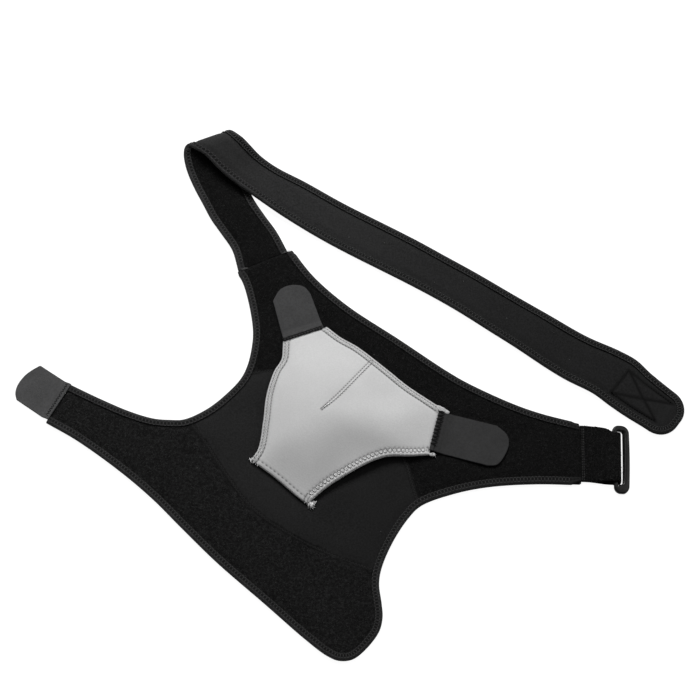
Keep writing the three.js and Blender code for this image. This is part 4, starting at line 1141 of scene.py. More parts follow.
def shoulder_pad():
    rings = [RIM]
    nrm = -left(tangents(RIM, closed=True))       # clockwise outline, so inward is to the right
    inner_ok = []
    for off in (0.4, 0.9, 1.4, 1.95, 2.5, 3.1, 3.7, 4.3, 4.9, 5.45, 6.0, 6.55, 7.1, 7.7):
        q = RIM[::1] + nrm * off
        dd, _ = segment_distance(q, RIM, closed=True)
        inner_ok.append(q[(dd > off * 0.93) & inside(q, RIM)])
    dart = []
    dn = left(tangents(DART_PATH))
    for off in (-2.9, -2.3, -1.75, -1.2, -0.6, 0.0, 0.6, 1.2, 1.75, 2.3, 2.9):
        dart.append(DART_PATH + dn * off)
    dart = np.vstack(dart)
    dd, _ = segment_distance(dart, RIM, closed=True)
    dart = dart[(dd > 8.1) & inside(dart, RIM)]
    g = hex_grid(RIM, 1.9, 8.7)
    near, _ = segment_distance(g, DART_PATH)
    pts = np.vstack(inner_ok + [dart, g[near > 3.8]])
    p, tri = fill_outline(RIM, pts)
    base = pad_field(p)
    top = ON_SHEET + PAD_T + base + pad_relief(p)
    d, _ = segment_distance(p, RIM, closed=True)
    bottom = ON_SHEET + base + np.where(d < 0.9, 0.9 - np.sqrt(np.maximum(0, 0.81 - (0.9 - d) ** 2)), 0)
    v, f = slab_mesh(p, tri, top, bottom)
    o = build("shoulder_pad_cloth", v, f, [PAD], pit_shade=np.concatenate([pad_pits(p), np.zeros(len(p))]))
    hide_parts("shoulder_pad")
    return o


def pad_place(path, inward):
    """place() on the pad's upper face beside a line: s along it, a to its inner side."""
    run = arc(path)
    u = inward

    def place(s, a, z):
        p = np.column_stack([np.interp(s, run, path[:, k]) for k in range(2)])
        w = norm(np.column_stack([np.interp(s, run, u[:, k]) for k in range(2)]))
        q = p + a[:, None] * w
        return np.column_stack([q, ON_SHEET + PAD_T + pad_field(q) + pad_relief(q) + z])
    return place, run[-1]


# ------------------------------------------------------------- tabs and plates
def tab_loop(rows, step=1.2):
    out, run = [], []

    def flush():
        if run:
            out.append(resample(catmull(run), step))
            run.clear()
    for x, y, r in rows:
        if r:
            run.append((x, y))
        else:
            flush()
            out.append(np.array([(x, y)]))
    flush()
    p = np.vstack(out)
    return resample(np.vstack([p, p[:1]]), step)[:-1]


def plate(name, node, loop, low, thick, mat, lie, round_edge=0.5, step=2.2, grooves=()):
    """A thin plate with eased edges. lie(p) is how far it stands off its flat place."""
    loop = loop if area_of(loop) < 0 else loop[::-1]
    nrm = -left(tangents(loop, closed=True))
    rings = []
    for off in (round_edge * 0.3, round_edge * 0.65, round_edge, round_edge * 1.6):
        q = loop + nrm * off
        dd, _ = segment_distance(q, loop, closed=True)
        rings.append(q[(dd > off * 0.93) & inside(q, loop)])
    g = hex_grid(loop, step, round_edge * 1.6 + 0.8)
    p, tri = fill_outline(loop, np.vstack(rings + [g]))
    d, _ = segment_distance(p, loop, closed=True)
    r = round_edge
    ease = np.where(d < r, r - np.sqrt(np.maximum(0, r * r - (r - d) ** 2)), 0)
    off = lie(p)
    top = low + thick + off - ease
    for line, width, depth in grooves:
        e, _ = segment_distance(p, np.asarray(line, float))
        top = top - depth * np.exp(-(e / width) ** 2)
    bottom = low + off + 0.6 * ease
    v, f = slab_mesh(p, tri, top, bottom)
    o = build(name, v, f, [mat])
    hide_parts(node)
    return o


# ============================================================== the sheet
COVERS = [RIM, tab_loop(TOP_TAB), tab_loop(SIDE_TAB), tab_loop(ARM_TAB)]
arm_panel, arm_area = panel("arm_panel", LOOP, 11, 0.35)
centre_panel, centre_area = panel("centre_panel", JERSEY, 12, 0.4)
chest_panel, chest_area = panel("chest_panel", LOOP_SHADED, 13, 0.35)

tab_line = norm(arm_hole[0] - lower_edge[-1])
root_line = norm(top_edge[0] - arm_hole[-1])
end_line = norm(top_edge[-1] - lower_edge[0])
tapes = {}
# How far along, how deep and how sharply each tape is cut back at its start and its end.
SQUARE, ROUND, LONG_ROUND, SLANT, LONG_SLANT = (1, 0, 1), (5, 4.2, 2.6), (8, 4.6, 2.4), (8, 3.2, 1.3), (10, 5.0, 1.1)
for node, path, a, b, cuts, first, last in (
        ("arm_hole_binding", arm_hole, tab_line, -root_line, (SQUARE, ROUND), 3.4, 5.0),
        ("top_binding", top_edge, root_line, end_line, (LONG_ROUND, SLANT), 6.0, 7.0),
        ("lower_binding", lower_edge, -end_line, -tab_line, (LONG_SLANT, SQUARE), 9.0, 2.0)):
    tapes[node], u = edge_tape(node, path, a, b, cuts)
    place, length = along(path, u)
    heap = Heap()
    S, A, Z = chain(length, TAPE_PITCH, *TAPE_RAILS, 0.3, -0.4, first, last)
    P = place(S.ravel(), A.ravel(), Z.ravel()).reshape(*S.shape, 3)
    heap.tubes(P, up_like(P), 0.27, sides=4, flat=0.8)
    heap.make(node + "_stitches", THREAD_TAPE, slot="binding_tape")


# ============================================================== the seams
def seam_band(name, rows, width=4.2, trim=3.0, cut=None):
    path = resample(catmull(rows), 0.8)
    run = arc(path)
    keep = (run > trim) & (run < run[-1] - trim)
    path = path[keep]
    if cut is not None:
        path = path[cut(path)]
    n, cols = len(path), 11
    u = left(tangents(path))
    x = np.linspace(-1, 1, cols)
    i = np.repeat(np.arange(n), cols)
    t = np.tile(x, n)
    s = i * 0.8
    rib = 0.09 * np.cos(2 * np.pi * (s / 1.7)) * (1 - t ** 4)
    rows_dip = 0.2 * (np.exp(-((np.abs(t) - 0.62) / 0.14) ** 2)) * (0.6 + 0.4 * np.cos(2 * np.pi * s / 3.1))
    z = SHEET_TOP + 0.02 + 0.26 * (1 - np.abs(t) ** 5) + rib - rows_dip
    # Painted shade at the band's stitch holes.
    dots = np.exp(-((t - 0.55) / 0.3) ** 2) * (0.35 + 0.65 * (0.5 + 0.5 * np.cos(2 * np.pi * s / 3.1)))
    q = path[i] + (t * width / 2)[:, None] * u[i]
    top = np.column_stack([q, z])
    low = np.column_stack([q, np.full(len(q), SHEET_TOP - 0.5)])
    k = n * cols
    f = list(grid_faces(n, cols, flip=True)) + list(grid_faces(n, cols, base=k))
    for j in range(n - 1):
        p, r = j * cols, (j + 1) * cols
        f.append((p, r, r + k, p + k)[::-1])
        f.append((p + cols - 1, p + cols - 1 + k, r + cols - 1 + k, r + cols - 1)[::-1])
    for j, turn in ((0, True), (n - 1, False)):
        for c in range(cols - 1):
            g = [j * cols + c, j * cols + c + 1, k + j * cols + c + 1, k + j * cols + c]
            f.append(tuple(g if not turn else g[::-1]))
    o = build(name, np.vstack([top, low]), f, [SEAM], pit_shade=np.concatenate([dots, 0 * dots]))

    def place(s, a, zz):
        p = np.column_stack([np.interp(s, arc(path), path[:, c]) for c in range(2)])
        w = norm(np.column_stack([np.interp(s, arc(path), u[:, c]) for c in range(2)]))
        return np.column_stack([p + a[:, None] * w, SHEET_TOP + 0.36 + zz])
    heap = Heap()
    P = zigzag(place, arc(path)[-1], 3.1, -1.4, 1.4, lift=0.05, dip=-0.3, jitter=0.1)
    heap.tubes(P, up_like(P), 0.22, sides=4, flat=0.7)
    heap.make(name + "_stitches", THREAD_SEAM, slot="binding_tape")
    return o


arm_seam = seam_band("arm_seam", ARM_SEAM)
chest_seam = seam_band("chest_seam", CHEST_SEAM)

panel_pile("arm_panel", 7600, 51, (FIBRE, FIBRE_PALE))
panel_pile("chest_panel", 7600, 61, (FIBRE_SHADED, FIBRE_SHADED_PALE))

# ============================================================== the strap
chest_strap = strap_cloth()
strap_binding, strap_stitch, strap_run = strap_tape()
for name, side in (("strap_stitches_loop_side", 1), ("strap_stitches_back", -1)):
    heap = Heap()
    place = strap_stitch(side)
    S, A, Z = chain(strap_run, TAPE_PITCH, *TAPE_RAILS, 0.3, -0.4, 2 * TAPE_PITCH, 2 * TAPE_PITCH)
    flat = (S.ravel(), A.ravel())
    P = place(*flat, Z.ravel()).reshape(*S.shape, 3)
    P[..., 2] = np.maximum(P[..., 2], 0.3)
    # Up from the tape at each thread is the way from the mid-surface to the thread.
    up = norm(place(*flat, np.ones(S.size)) - strap_stitch(0.0)(*flat, np.zeros(S.size))).reshape(*S.shape, 3)
    # On each face only the stitches that don't face the table.
    seen = P[:, 2, 2] > 2.0
    heap.tubes(P[seen], up[seen], 0.27, sides=4, flat=0.8)
    heap.make(name, THREAD_TAPE, slot="binding_tape")

g = np.random.default_rng(71)
q = np.column_stack([g.uniform(3, 232, 2600), g.uniform(-1, 1, 2600)])
q[:, 1] *= np.interp(q[:, 0], _A, _HALF) - 8.2
fibres("chest_strap_pile", q, lambda p, h: on_strap(p[:, 0], p[:, 1], SHEET_T / 2 + 0.8 * smoothstep(
    np.interp(p[:, 0], _A, _HALF) - np.abs(p[:, 1]), 7.3, 14.0) * smoothstep(p[:, 0], 1.0, 9.0) + h), 72, (FIBRE_SHADED, FIBRE_SHADED_PALE))

heap = Heap()
for (p, q) in strap_lines():
    p, q = np.array(p), np.array(q)
    length = np.linalg.norm(q - p)
    d = (q - p) / length

    def place(s, a, z, p=p, d=d):
        w = p + s[:, None] * d
        return on_strap(w[:, 0], w[:, 1], -(SHEET_T / 2) + 0.42 - z)
    P = dashes(place, length, 2.9, 0.0, share=0.9, lift=0.2, dip=-0.1, start=0.3, end=0.3)
    heap.tubes(P, up_like(P), 0.62, sides=6, flat=0.5)
heap.make("strap_crossed_seam", THREAD_BLACK, slot="jersey")


def hidden_patch():
    a0, a1 = STRAP_LENGTH - 81, STRAP_LENGTH - 23
    loop = []
    for a, b in ((a0, -15.5), (a0, 15.5), (a1, 15.5), (a1, -15.5)):
        loop.append(on_strap([a], [b], [0])[0][:2])
    loop = np.array(loop)
    loop = resample(np.vstack([loop, loop[:1]]), 1.5)[:-1]
    return plate("strap_hook_patch_cloth", "strap_hook_patch", loop, 0.1, 1.3, HOOK, lambda p: 0 * p[:, 0], 0.3, 4.0)


strap_hook_patch = hidden_patch()

# Specks of lint, where they lie: on the sheet, then along the strap's back.
heap = Heap()
for x, y in ((-97.8, 74.0), (-30.6, 47.5), (64.0, -12.0), (24.0, 28.0), (118.0, -66.0), (-150.0, -92.0), (-211.0, -31.0), (30.0, -158.0)):
    g = RNG.uniform(0, 2 * np.pi)
    t = np.linspace(-0.5, 0.5, 4)
    z = sheet_height(np.array([[x, y]]), 12, 0.4)[0] + 0.75
    P = np.column_stack([x + np.cos(g) * t, y + np.sin(g) * t, z + 0.15 * np.cos(3 * t)])[None]
    heap.tubes(P, up_like(P), 0.2)
for a, b in ((365.0, 4.0), (430.0, -9.0), (455.0, 7.0), (512.0, -3.0), (560.0, 10.0), (588.0, -6.0), (330.0, -8.0)):
    q = np.array([a, a + 0.4, a + 0.8]), np.array([b, b + 0.3, b])
    P = on_strap(q[0], q[1], np.full(3, -(SHEET_T / 2) - 1.0))[None]
    heap.tubes(P, up_like(P), 0.2)
heap.make("lint", THREAD_GREY, slot="jersey")

heap = Heap()
for a, b in (((-69.2, 138.2), (-59.6, 140.9)), ((-68.6, 139.3), (-60.2, 141.7)), ((-110.6, 119.6), (-103.0, 122.0)), ((-110.2, 120.7), (-103.4, 122.9))):
    P = np.array(a) + (np.array(b) - np.array(a)) * np.linspace(0, 1, 5)[:, None]
    P = np.column_stack([P, EDGE_T + TAPE_CLEAR + np.array([-0.1, 0.25, 0.3, 0.25, -0.1])])[None]
    heap.tubes(P, up_like(P), 0.26, sides=5, flat=0.8)
heap.make("strap_root_tacks", THREAD_TACK, slot="binding_tape")

# ============================================================== the tabs
ARM_FOOT = np.array([(-277.9, -3.4), (-299.6, -40.9)])
TOP_FOOT = np.array([(-66.6, 43.1), (-26.9, 57.1)])
SIDE_FOOT = np.array([(89.6, -33.4), (79.3, -74.6)])


def toward(rows, foot, past):
    """A tab's rows with its foot carried past the seam, over what it is sewn to."""
    mid = np.mean([(r[0], r[1]) for r in rows], axis=0)
    d = norm(foot[1] - foot[0])
    nrm = np.array([-d[1], d[0]])
    if nrm @ (foot.mean(0) - mid) < 0:
        nrm = -nrm
    out = []
    for x, y, r in rows:
        near = min(np.linalg.norm(foot[0] - (x, y)), np.linalg.norm(foot[1] - (x, y))) < 2.5
        out.append((x + nrm[0] * past * near, y + nrm[1] * past * near, r))
    return out, nrm


def foot_rise(foot, height, reach):
    def lie(p):
        d = norm(foot[1] - foot[0])
        off = np.abs((p - foot[0]) @ np.array([-d[1], d[0]]))
        side = (p - foot[0]) @ np.array([-d[1], d[0]])
        return off, side
    return lie


def tab(node, name, rows, foot, low, mat, rise, reach, past, seed, crease=()):
    rows, nrm = toward(rows, foot, past)
    loop = tab_loop(rows)

    def lie(p):
        off = (foot[0] - p) @ nrm          # how far outside the seam, on the tab's own side
        z = rise * (1 - smoothstep(off, -0.5, reach))
        far = smoothstep(off, reach, reach + 12)
        return z + far * 0.22 * (1 + lumps(p[:, 0], p[:, 1], 42.0, seed, 5) * 0.6)
    return plate(name, node, loop, low, TAB_T, mat, lie, 0.55, 1.8, crease), nrm


arm_tab, arm_nrm = tab("arm_hook_tab", "arm_hook_tab_cloth", ARM_TAB, ARM_FOOT, 0.02, HOOK, 4.3, 8.0, 1.2, 21,
                       [(np.array([(-280.6, -3.6), (-301.2, -39.4)]), 0.7, 0.3)])
top_tab, top_nrm = tab("pad_hook_tab_top", "pad_hook_tab_top_cloth", TOP_TAB, TOP_FOOT, ON_SHEET, HOOK_TOP_SHADED, 2.7, 9.0, 1.6, 22)
side_tab, side_nrm = tab("pad_hook_tab_side", "pad_hook_tab_side_cloth", SIDE_TAB, SIDE_FOOT, ON_SHEET, HOOK_SIDE_SHADED, 2.7, 13.0, 1.6, 23,
                         [(np.array([(102.5, -38.0), (94.5, -70.5)]), 2.2, 0.35)])

# ============================================================== the pad
shoulder = shoulder_pad()


def side_path(k):
    p = pad_side(k, 1.0)
    return p, -left(tangents(p))


pale_heap, rim_heap, dark_heap = Heap(), Heap(), Heap()
for k, (_, _, kind, _) in enumerate(PAD_SIDES):
    path, inward = side_path(k)
    place, length = pad_place(path, inward)
    if kind == "hem":
        P = zigzag(place, length, HEM_PITCH, 3.1, 5.2, lift=0.3, dip=-0.1, start=HEM_PITCH, end=1.0, jitter=0.12)
        pale_heap.tubes(P, up_like(P), 0.22, sides=5)
    elif kind == "rolled":
        n = int((length - 5) / LOOP_PITCH)
        s0 = LOOP_PITCH * (1.5 + np.arange(n))
        t = np.linspace(0, 1, 7)
        turn = np.radians(-150 + 300 * t)
        S = s0[:, None] + 0.95 * np.sin(turn)[None] * np.ones((n, 1)) + RNG.normal(0, 0.12, (n, 1))
        A = 5.2 - 1.5 * np.cos(turn)[None] + RNG.normal(0, 0.12, (n, 1))
        Z = 0.3 * np.sin(np.pi * t)[None] + 0.05 + np.zeros((n, 1))
        P = place(S.ravel(), A.ravel(), Z.ravel()).reshape(n, 7, 3)
        pale_heap.tubes(P, up_like(P), 0.34)
        t = np.linspace(0, 1, 4)
        S = s0[:, None] + LOOP_PITCH * (0.5 + 0.12 * t)[None]
        A = 3.4 - 3.6 * t[None] + np.zeros((n, 1))
        Z = 0.16 * np.sin(np.pi * t)[None] + np.zeros((n, 1))
        P = place(S.ravel(), A.ravel(), Z.ravel()).reshape(n, 4, 3)
        pale_heap.tubes(P, up_like(P), 0.24)
    elif kind == "flat":
        n = 18
        s0 = np.concatenate([RNG.uniform(0.2, 7, 8), RNG.uniform(length - 9, length - 0.2, 10)])
        t = np.array([0, 0.4, 0.8, 1.0])
        S = s0[:, None] + RNG.normal(0, 0.9, (n, 1)) * t
        A = 0.9 - RNG.uniform(1.0, 2.6, (n, 1)) * t
        Z = 0.05 - RNG.uniform(0.4, 1.6, (n, 1)) * t ** 2
        P = place(S.ravel(), A.ravel(), Z.ravel()).reshape(n, 4, 3)
        P[..., 2] = np.maximum(P[..., 2], ON_SHEET + 0.15)
        rim_heap.tubes(P, up_like(P), 0.2)

# The dart: a thread from hole to hole, and the bar that closes its lower end.
place, length = pad_place(DART_PATH, left(tangents(DART_PATH)))
P = dashes(place, length, DART_PITCH, 0.5, share=0.62, lift=0.35, dip=0.0, start=DART_PITCH * 0.7, end=8.0)
pale_heap.tubes(P, up_like(P), 0.38)
P = dashes(place, length, 30.0, 0.0, share=0.34, lift=0.4, dip=0.1, start=length - 12.0, end=-20.0)
pale_heap.tubes(P[:1], up_like(P[:1]), 0.36)
dark = place(np.linspace(length - 11.0, length - 2.5, 6), np.linspace(-1.3, -1.0, 6), np.full(6, 0.12))[None]
grey_heap = Heap()
grey_heap.tubes(dark, up_like(dark), 0.3)

# Stitches that hold the pad's two tabs: between the teeth of the pad's end and over the tab's foot.
for k, foot, nrm, pitch, tab_side, reach, thick in (
        (0, TOP_FOOT, top_nrm, 3.0, 2.6, 9.0, 0.42), (2, SIDE_FOOT, side_nrm, 3.8, 5.6, 13.0, 0.5)):
    path = pad_side(k, 1.0)
    length = arc(path)[-1]

    def place(s, a, z, path=path, nrm=nrm, reach=reach):
        p = np.column_stack([np.interp(s, arc(path), path[:, c]) for c in range(2)])
        q = p + a[:, None] * nrm
        on_pad = ON_SHEET + PAD_T - 0.45
        on_tab = ON_SHEET + TAB_T + 2.7 * (1 - smoothstep(-a, -0.5, reach))
        return np.column_stack([q, np.maximum(on_tab, on_pad) + z])
    # The teeth point outward at the middle of each pitch, so each stitch starts at their feet.
    for shift, lean in ((0.0, 0.42), (0.06, -0.42)):
        n = int((length - 1.6) / pitch)
        s0 = 0.8 + pitch * (0.04 + np.arange(n) + shift)
        t = np.array([0.0, 0.2, 0.45, 0.7, 1.0])
        S = s0[:, None] + lean * pitch * t + RNG.normal(0, 0.15, (n, 1)) * t
        A = 1.6 - (1.6 + tab_side) * t[None] + RNG.normal(0, 0.25, (n, 1)) * t
        Z = np.array([-0.15, 0.5, 0.55, 0.4, -0.2])[None] + np.zeros((n, 1))
        P = place(S.ravel(), A.ravel(), Z.ravel()).reshape(n, 5, 3)
        dark_heap.tubes(P, up_like(P), thick, sides=6)
    P = dashes(place, length, pitch / 2, -tab_side * 0.55, share=0.8, lift=0.35, dip=-0.1, start=0.6, end=0.4)
    dark_heap.tubes(P, up_like(P), thick * 0.8, sides=5)

# Loose thread ends at the pad's corners: place, height, spread, how many, length.
for x, y, z, spread, count, size in (
        (97.0, -34.0, 7.4, 0.5, 3, 2.6), (83.5, -79.0, 6.6, 0.9, 8, 3.6), (-37.5, -131.0, 6.4, 1.2, 20, 6.0),
        (-98.0, -84.5, 5.4, 0.8, 7, 4.0), (-23.0, 57.5, 7.0, 0.5, 3, 2.4)):
    out = norm(np.array([x, y]) - PAD_CENTRE)
    for _ in range(count):
        ang = math.atan2(out[1], out[0]) + RNG.normal(0, spread)
        L = size * RNG.uniform(0.5, 1.0)
        t = np.linspace(0, 1, 7)
        bend = RNG.normal(0, 1.2)
        px = x - 1.5 * out[0] + np.cos(ang + bend * t) * L * t
        py = y - 1.5 * out[1] + np.sin(ang + bend * t) * L * t
        pz = np.maximum(z + 1.0 * np.sin(np.pi * t) - (z - ON_SHEET) * t ** 2, ON_SHEET + 0.25)
        P = np.stack([px, py, pz], -1)[None]
        rim_heap.tubes(P, up_like(P), 0.2, taper=0.7)
pale_heap.make("pad_threads", THREAD_PALE, slot="pad_cloth")
rim_heap.make("pad_thread_ends", THREAD_PALE, slot="pad_cloth")
grey_heap.make("dart_bar_tack", THREAD_GREY, slot="pad_cloth")
dark_heap.make("tab_stitches", THREAD_DARK, slot="hook_tape")


def hem_end(name, rows, low, high, thick, droop):
    """The loose end of a hem, past the seam that it is caught in."""
    loop = resample(catmull(rows + rows[:1]), 0.7)[:-1]
    a, b = np.array(rows[0]), np.array(high)
    d = norm(b - a)

    def lie(p):
        t = np.clip((p - a) @ d / np.linalg.norm(b - a), 0, 1)
        return -droop * t ** 1.5 + 0.18 * np.sin(p[:, 0] * 2.1 + p[:, 1])
    loop = loop if area_of(loop) < 0 else loop[::-1]
    nrm = -left(tangents(loop, closed=True))
    q = loop + nrm * 0.5
    dd, _ = segment_distance(q, loop, closed=True)
    pts, tri = fill_outline(loop, np.vstack([q[(dd > 0.42) & inside(q, loop)], hex_grid(loop, 0.9, 1.0)]))
    d0, _ = segment_distance(pts, loop, closed=True)
    ease = np.where(d0 < 0.5, 0.5 - np.sqrt(np.maximum(0, 0.25 - (0.5 - d0) ** 2)), 0)
    top = low + thick + lie(pts) - ease
    v, f = slab_mesh(pts, tri, top, low + lie(pts) + 0.5 * ease)
    # A painted line of shade along the hem end's stitch row.
    return build(name, v, f, [PAD], pit_shade=np.concatenate([0.35 * np.exp(-((d0 - 1.6) / 0.5) ** 2), 0 * d0]))


hem_end("pad_hem_end_right", [(86.5, -27.0), (90.5, -28.6), (95.5, -31.6), (98.6, -34.6), (97.4, -36.0), (93.0, -35.3), (88.9, -33.4), (86.6, -31.0)], 7.35, (98.6, -34.6), 1.3, 0.9)
hem_end("pad_hem_end_low", [(78.8, -77.0), (81.6, -76.6), (83.9, -77.4), (83.6, -79.2), (80.8, -80.2), (78.4, -79.6), (77.8, -78.2)], 6.0, (83.9, -77.8), 1.0, 0.9)
hem_end("pad_hem_end_corner", [(-40.6, -128.6), (-38.0, -127.6), (-36.0, -129.4), (-35.4, -131.6), (-37.0, -132.8), (-39.4, -132.2), (-41.0, -130.6)], 5.8, (-35.6, -132.0), 1.0, 1.2)

# Stitched hem where the arm tab lies over the panel's end.
heap = Heap()
path = resample(ARM_FOOT, 1.0)


def place(s, a, z):
    p = np.column_stack([np.interp(s, arc(path), path[:, c]) for c in range(2)])
    q = p + a[:, None] * arm_nrm
    h = 0.02 + TAB_T + 4.3 * (1 - smoothstep(-a, -0.5, 8.0))
    return np.column_stack([q, h + z])


P = zigzag(place, arc(path)[-1], 3.0, -1.2, -4.6, lift=0.15, dip=-0.3, start=1.0, end=1.0, jitter=0.15)
heap.tubes(P, up_like(P), 0.3, flat=0.8)
heap.make("arm_tab_stitches", THREAD_DARK, slot="hook_tape")


# ============================================================== buckle
def webbing():
    r = BAR_HOLE + WEB_T / 2
    low0, high0 = 1.06, 2.74
    keys = [(WEB_X + GAP, high0), (WEB_X + 8, high0), (WEB_X + 16, high0), (246.5, 4.2), (252.0, 6.67), (256.0, 8.05), (258.6, BAR_Z + r)]
    up = catmull(keys, 10)
    bend = np.array([(BAR_X + (r + 1.5) * math.cos(t), BAR_Z + r * math.sin(t)) for t in np.linspace(math.pi / 2, -math.pi / 2, 26)])
    keys = [(258.6, BAR_Z - r), (256.0, 0.86), (252.0, 0.9), (246.5, 0.98), (WEB_X + 16, low0), (WEB_X + 8, low0), (WEB_X + GAP, low0)]
    down = catmull(keys, 10)
    mid = resample(np.vstack([up, bend, down]), 0.9)
    n, cols = len(mid), 41
    tan = tangents(mid)
    off = left(tan)
    t = np.linspace(-1, 1, cols)
    half = WEB_T / 2 - 0.04
    run = arc(mid)
    share = run / run[-1]
    low = smoothstep(share, 0.44, 0.58)
    y0 = -105.2 - 0.9 * smoothstep(mid[:, 0], 232, 262) - 0.7 * smoothstep(mid[:, 0], 256, 263) - low * 2.0 * smoothstep(mid[:, 0], 228, 256)
    y1 = -46.9 - 1.2 * smoothstep(mid[:, 0], 228, 246) - 3.2 * smoothstep(mid[:, 0], 242, 255) - 4.4 * smoothstep(mid[:, 0], 251.5, 260.5)
    out = []
    edge = np.exp(-((1 - np.abs(t)) / 0.035) ** 2)
    for sign in (1, -1):
        x = mid[:, 0][:, None] + sign * off[:, 0][:, None] * (half - 0.3 * edge)[None]
        z = mid[:, 1][:, None] + sign * off[:, 1][:, None] * (half - 0.3 * edge)[None]
        y = (y0 + y1)[:, None] / 2 + (y1 - y0)[:, None] / 2 * t[None]
        x = x + smoothstep(mid[:, 0], 258.0, 265.0)[:, None] * 0.022 * (y + 77.0)
        out.append(np.stack([x, y, z], -1).reshape(-1, 3))
    k = n * cols
    f = list(grid_faces(n, cols)) + list(grid_faces(n, cols, base=k, flip=True))
    for i in range(n - 1):
        p, q = i * cols, (i + 1) * cols
        f.append((p, q, q + k, p + k))
        f.append((p + cols - 1, p + cols - 1 + k, q + cols - 1 + k, q + cols - 1))
    for i, turn in ((0, False), (n - 1, True)):
        for j in range(cols - 1):
            c = [i * cols + j, i * cols + j + 1, k + i * cols + j + 1, k + i * cols + j]
            f.append(tuple(c if not turn else c[::-1]))
    o = build("buckle_webbing_cloth", np.vstack(out), f, [LOOP_SHADED])
    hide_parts("buckle_webbing")
    return o, float(run[-1]), mid, run, off, y0, y1


buckle_webbing, web_length, web_mid, web_run, web_off, web_y0, web_y1 = webbing()

g = np.random.default_rng(81)
q = np.column_stack([g.uniform(0.5, 40.0, 1500), g.uniform(-0.985, 0.985, 1500)])


def on_webbing(p, h):
    """Layout places on the webbing's upper layer: run from its seam, share across, height."""
    x = np.interp(p[:, 0], web_run, web_mid[:, 0])
    z = np.interp(p[:, 0], web_run, web_mid[:, 1])
    o = norm(np.column_stack([np.interp(p[:, 0], web_run, web_off[:, k]) for k in range(2)]))
    y0, y1 = np.interp(p[:, 0], web_run, web_y0), np.interp(p[:, 0], web_run, web_y1)
    y = (y0 + y1) / 2 + (y1 - y0) / 2 * np.clip(p[:, 1], -1, 1)
    return np.column_stack([x + o[:, 0] * (0.82 + h), y, z + o[:, 1] * (0.82 + h)])


def web_fibre(p, h):
    # Fibres are laid out in millimetres, so the share across is scaled back.
    return on_webbing(np.column_stack([p[:, 0], p[:, 1] / 28.0]), h)


q[:, 1] *= 28.0
fibres("buckle_webbing_pile", q, web_fibre, 82, (FIBRE_SHADED, FIBRE_SHADED_PALE))

heap = Heap()
for x, rad in ((229.9, 0.34), (228.3, 0.26)):
    seam = resample(np.array([(x, -104.6), (x + 0.9, -47.6)]), 1.0)

    def place(s, a, z, seam=seam):
        p = np.column_stack([np.interp(s, arc(seam), seam[:, c]) for c in range(2)])
        return np.column_stack([p[:, 0] + a, p[:, 1], 3.52 + z])
    P = dashes(place, arc(seam)[-1], 2.6, 0.0, share=0.72, lift=0.25, dip=-0.15, start=0.4, end=0.4)
    heap.tubes(P, up_like(P), rad)
heap.make("webbing_stitches", THREAD_TAPE, slot="loop_cloth")


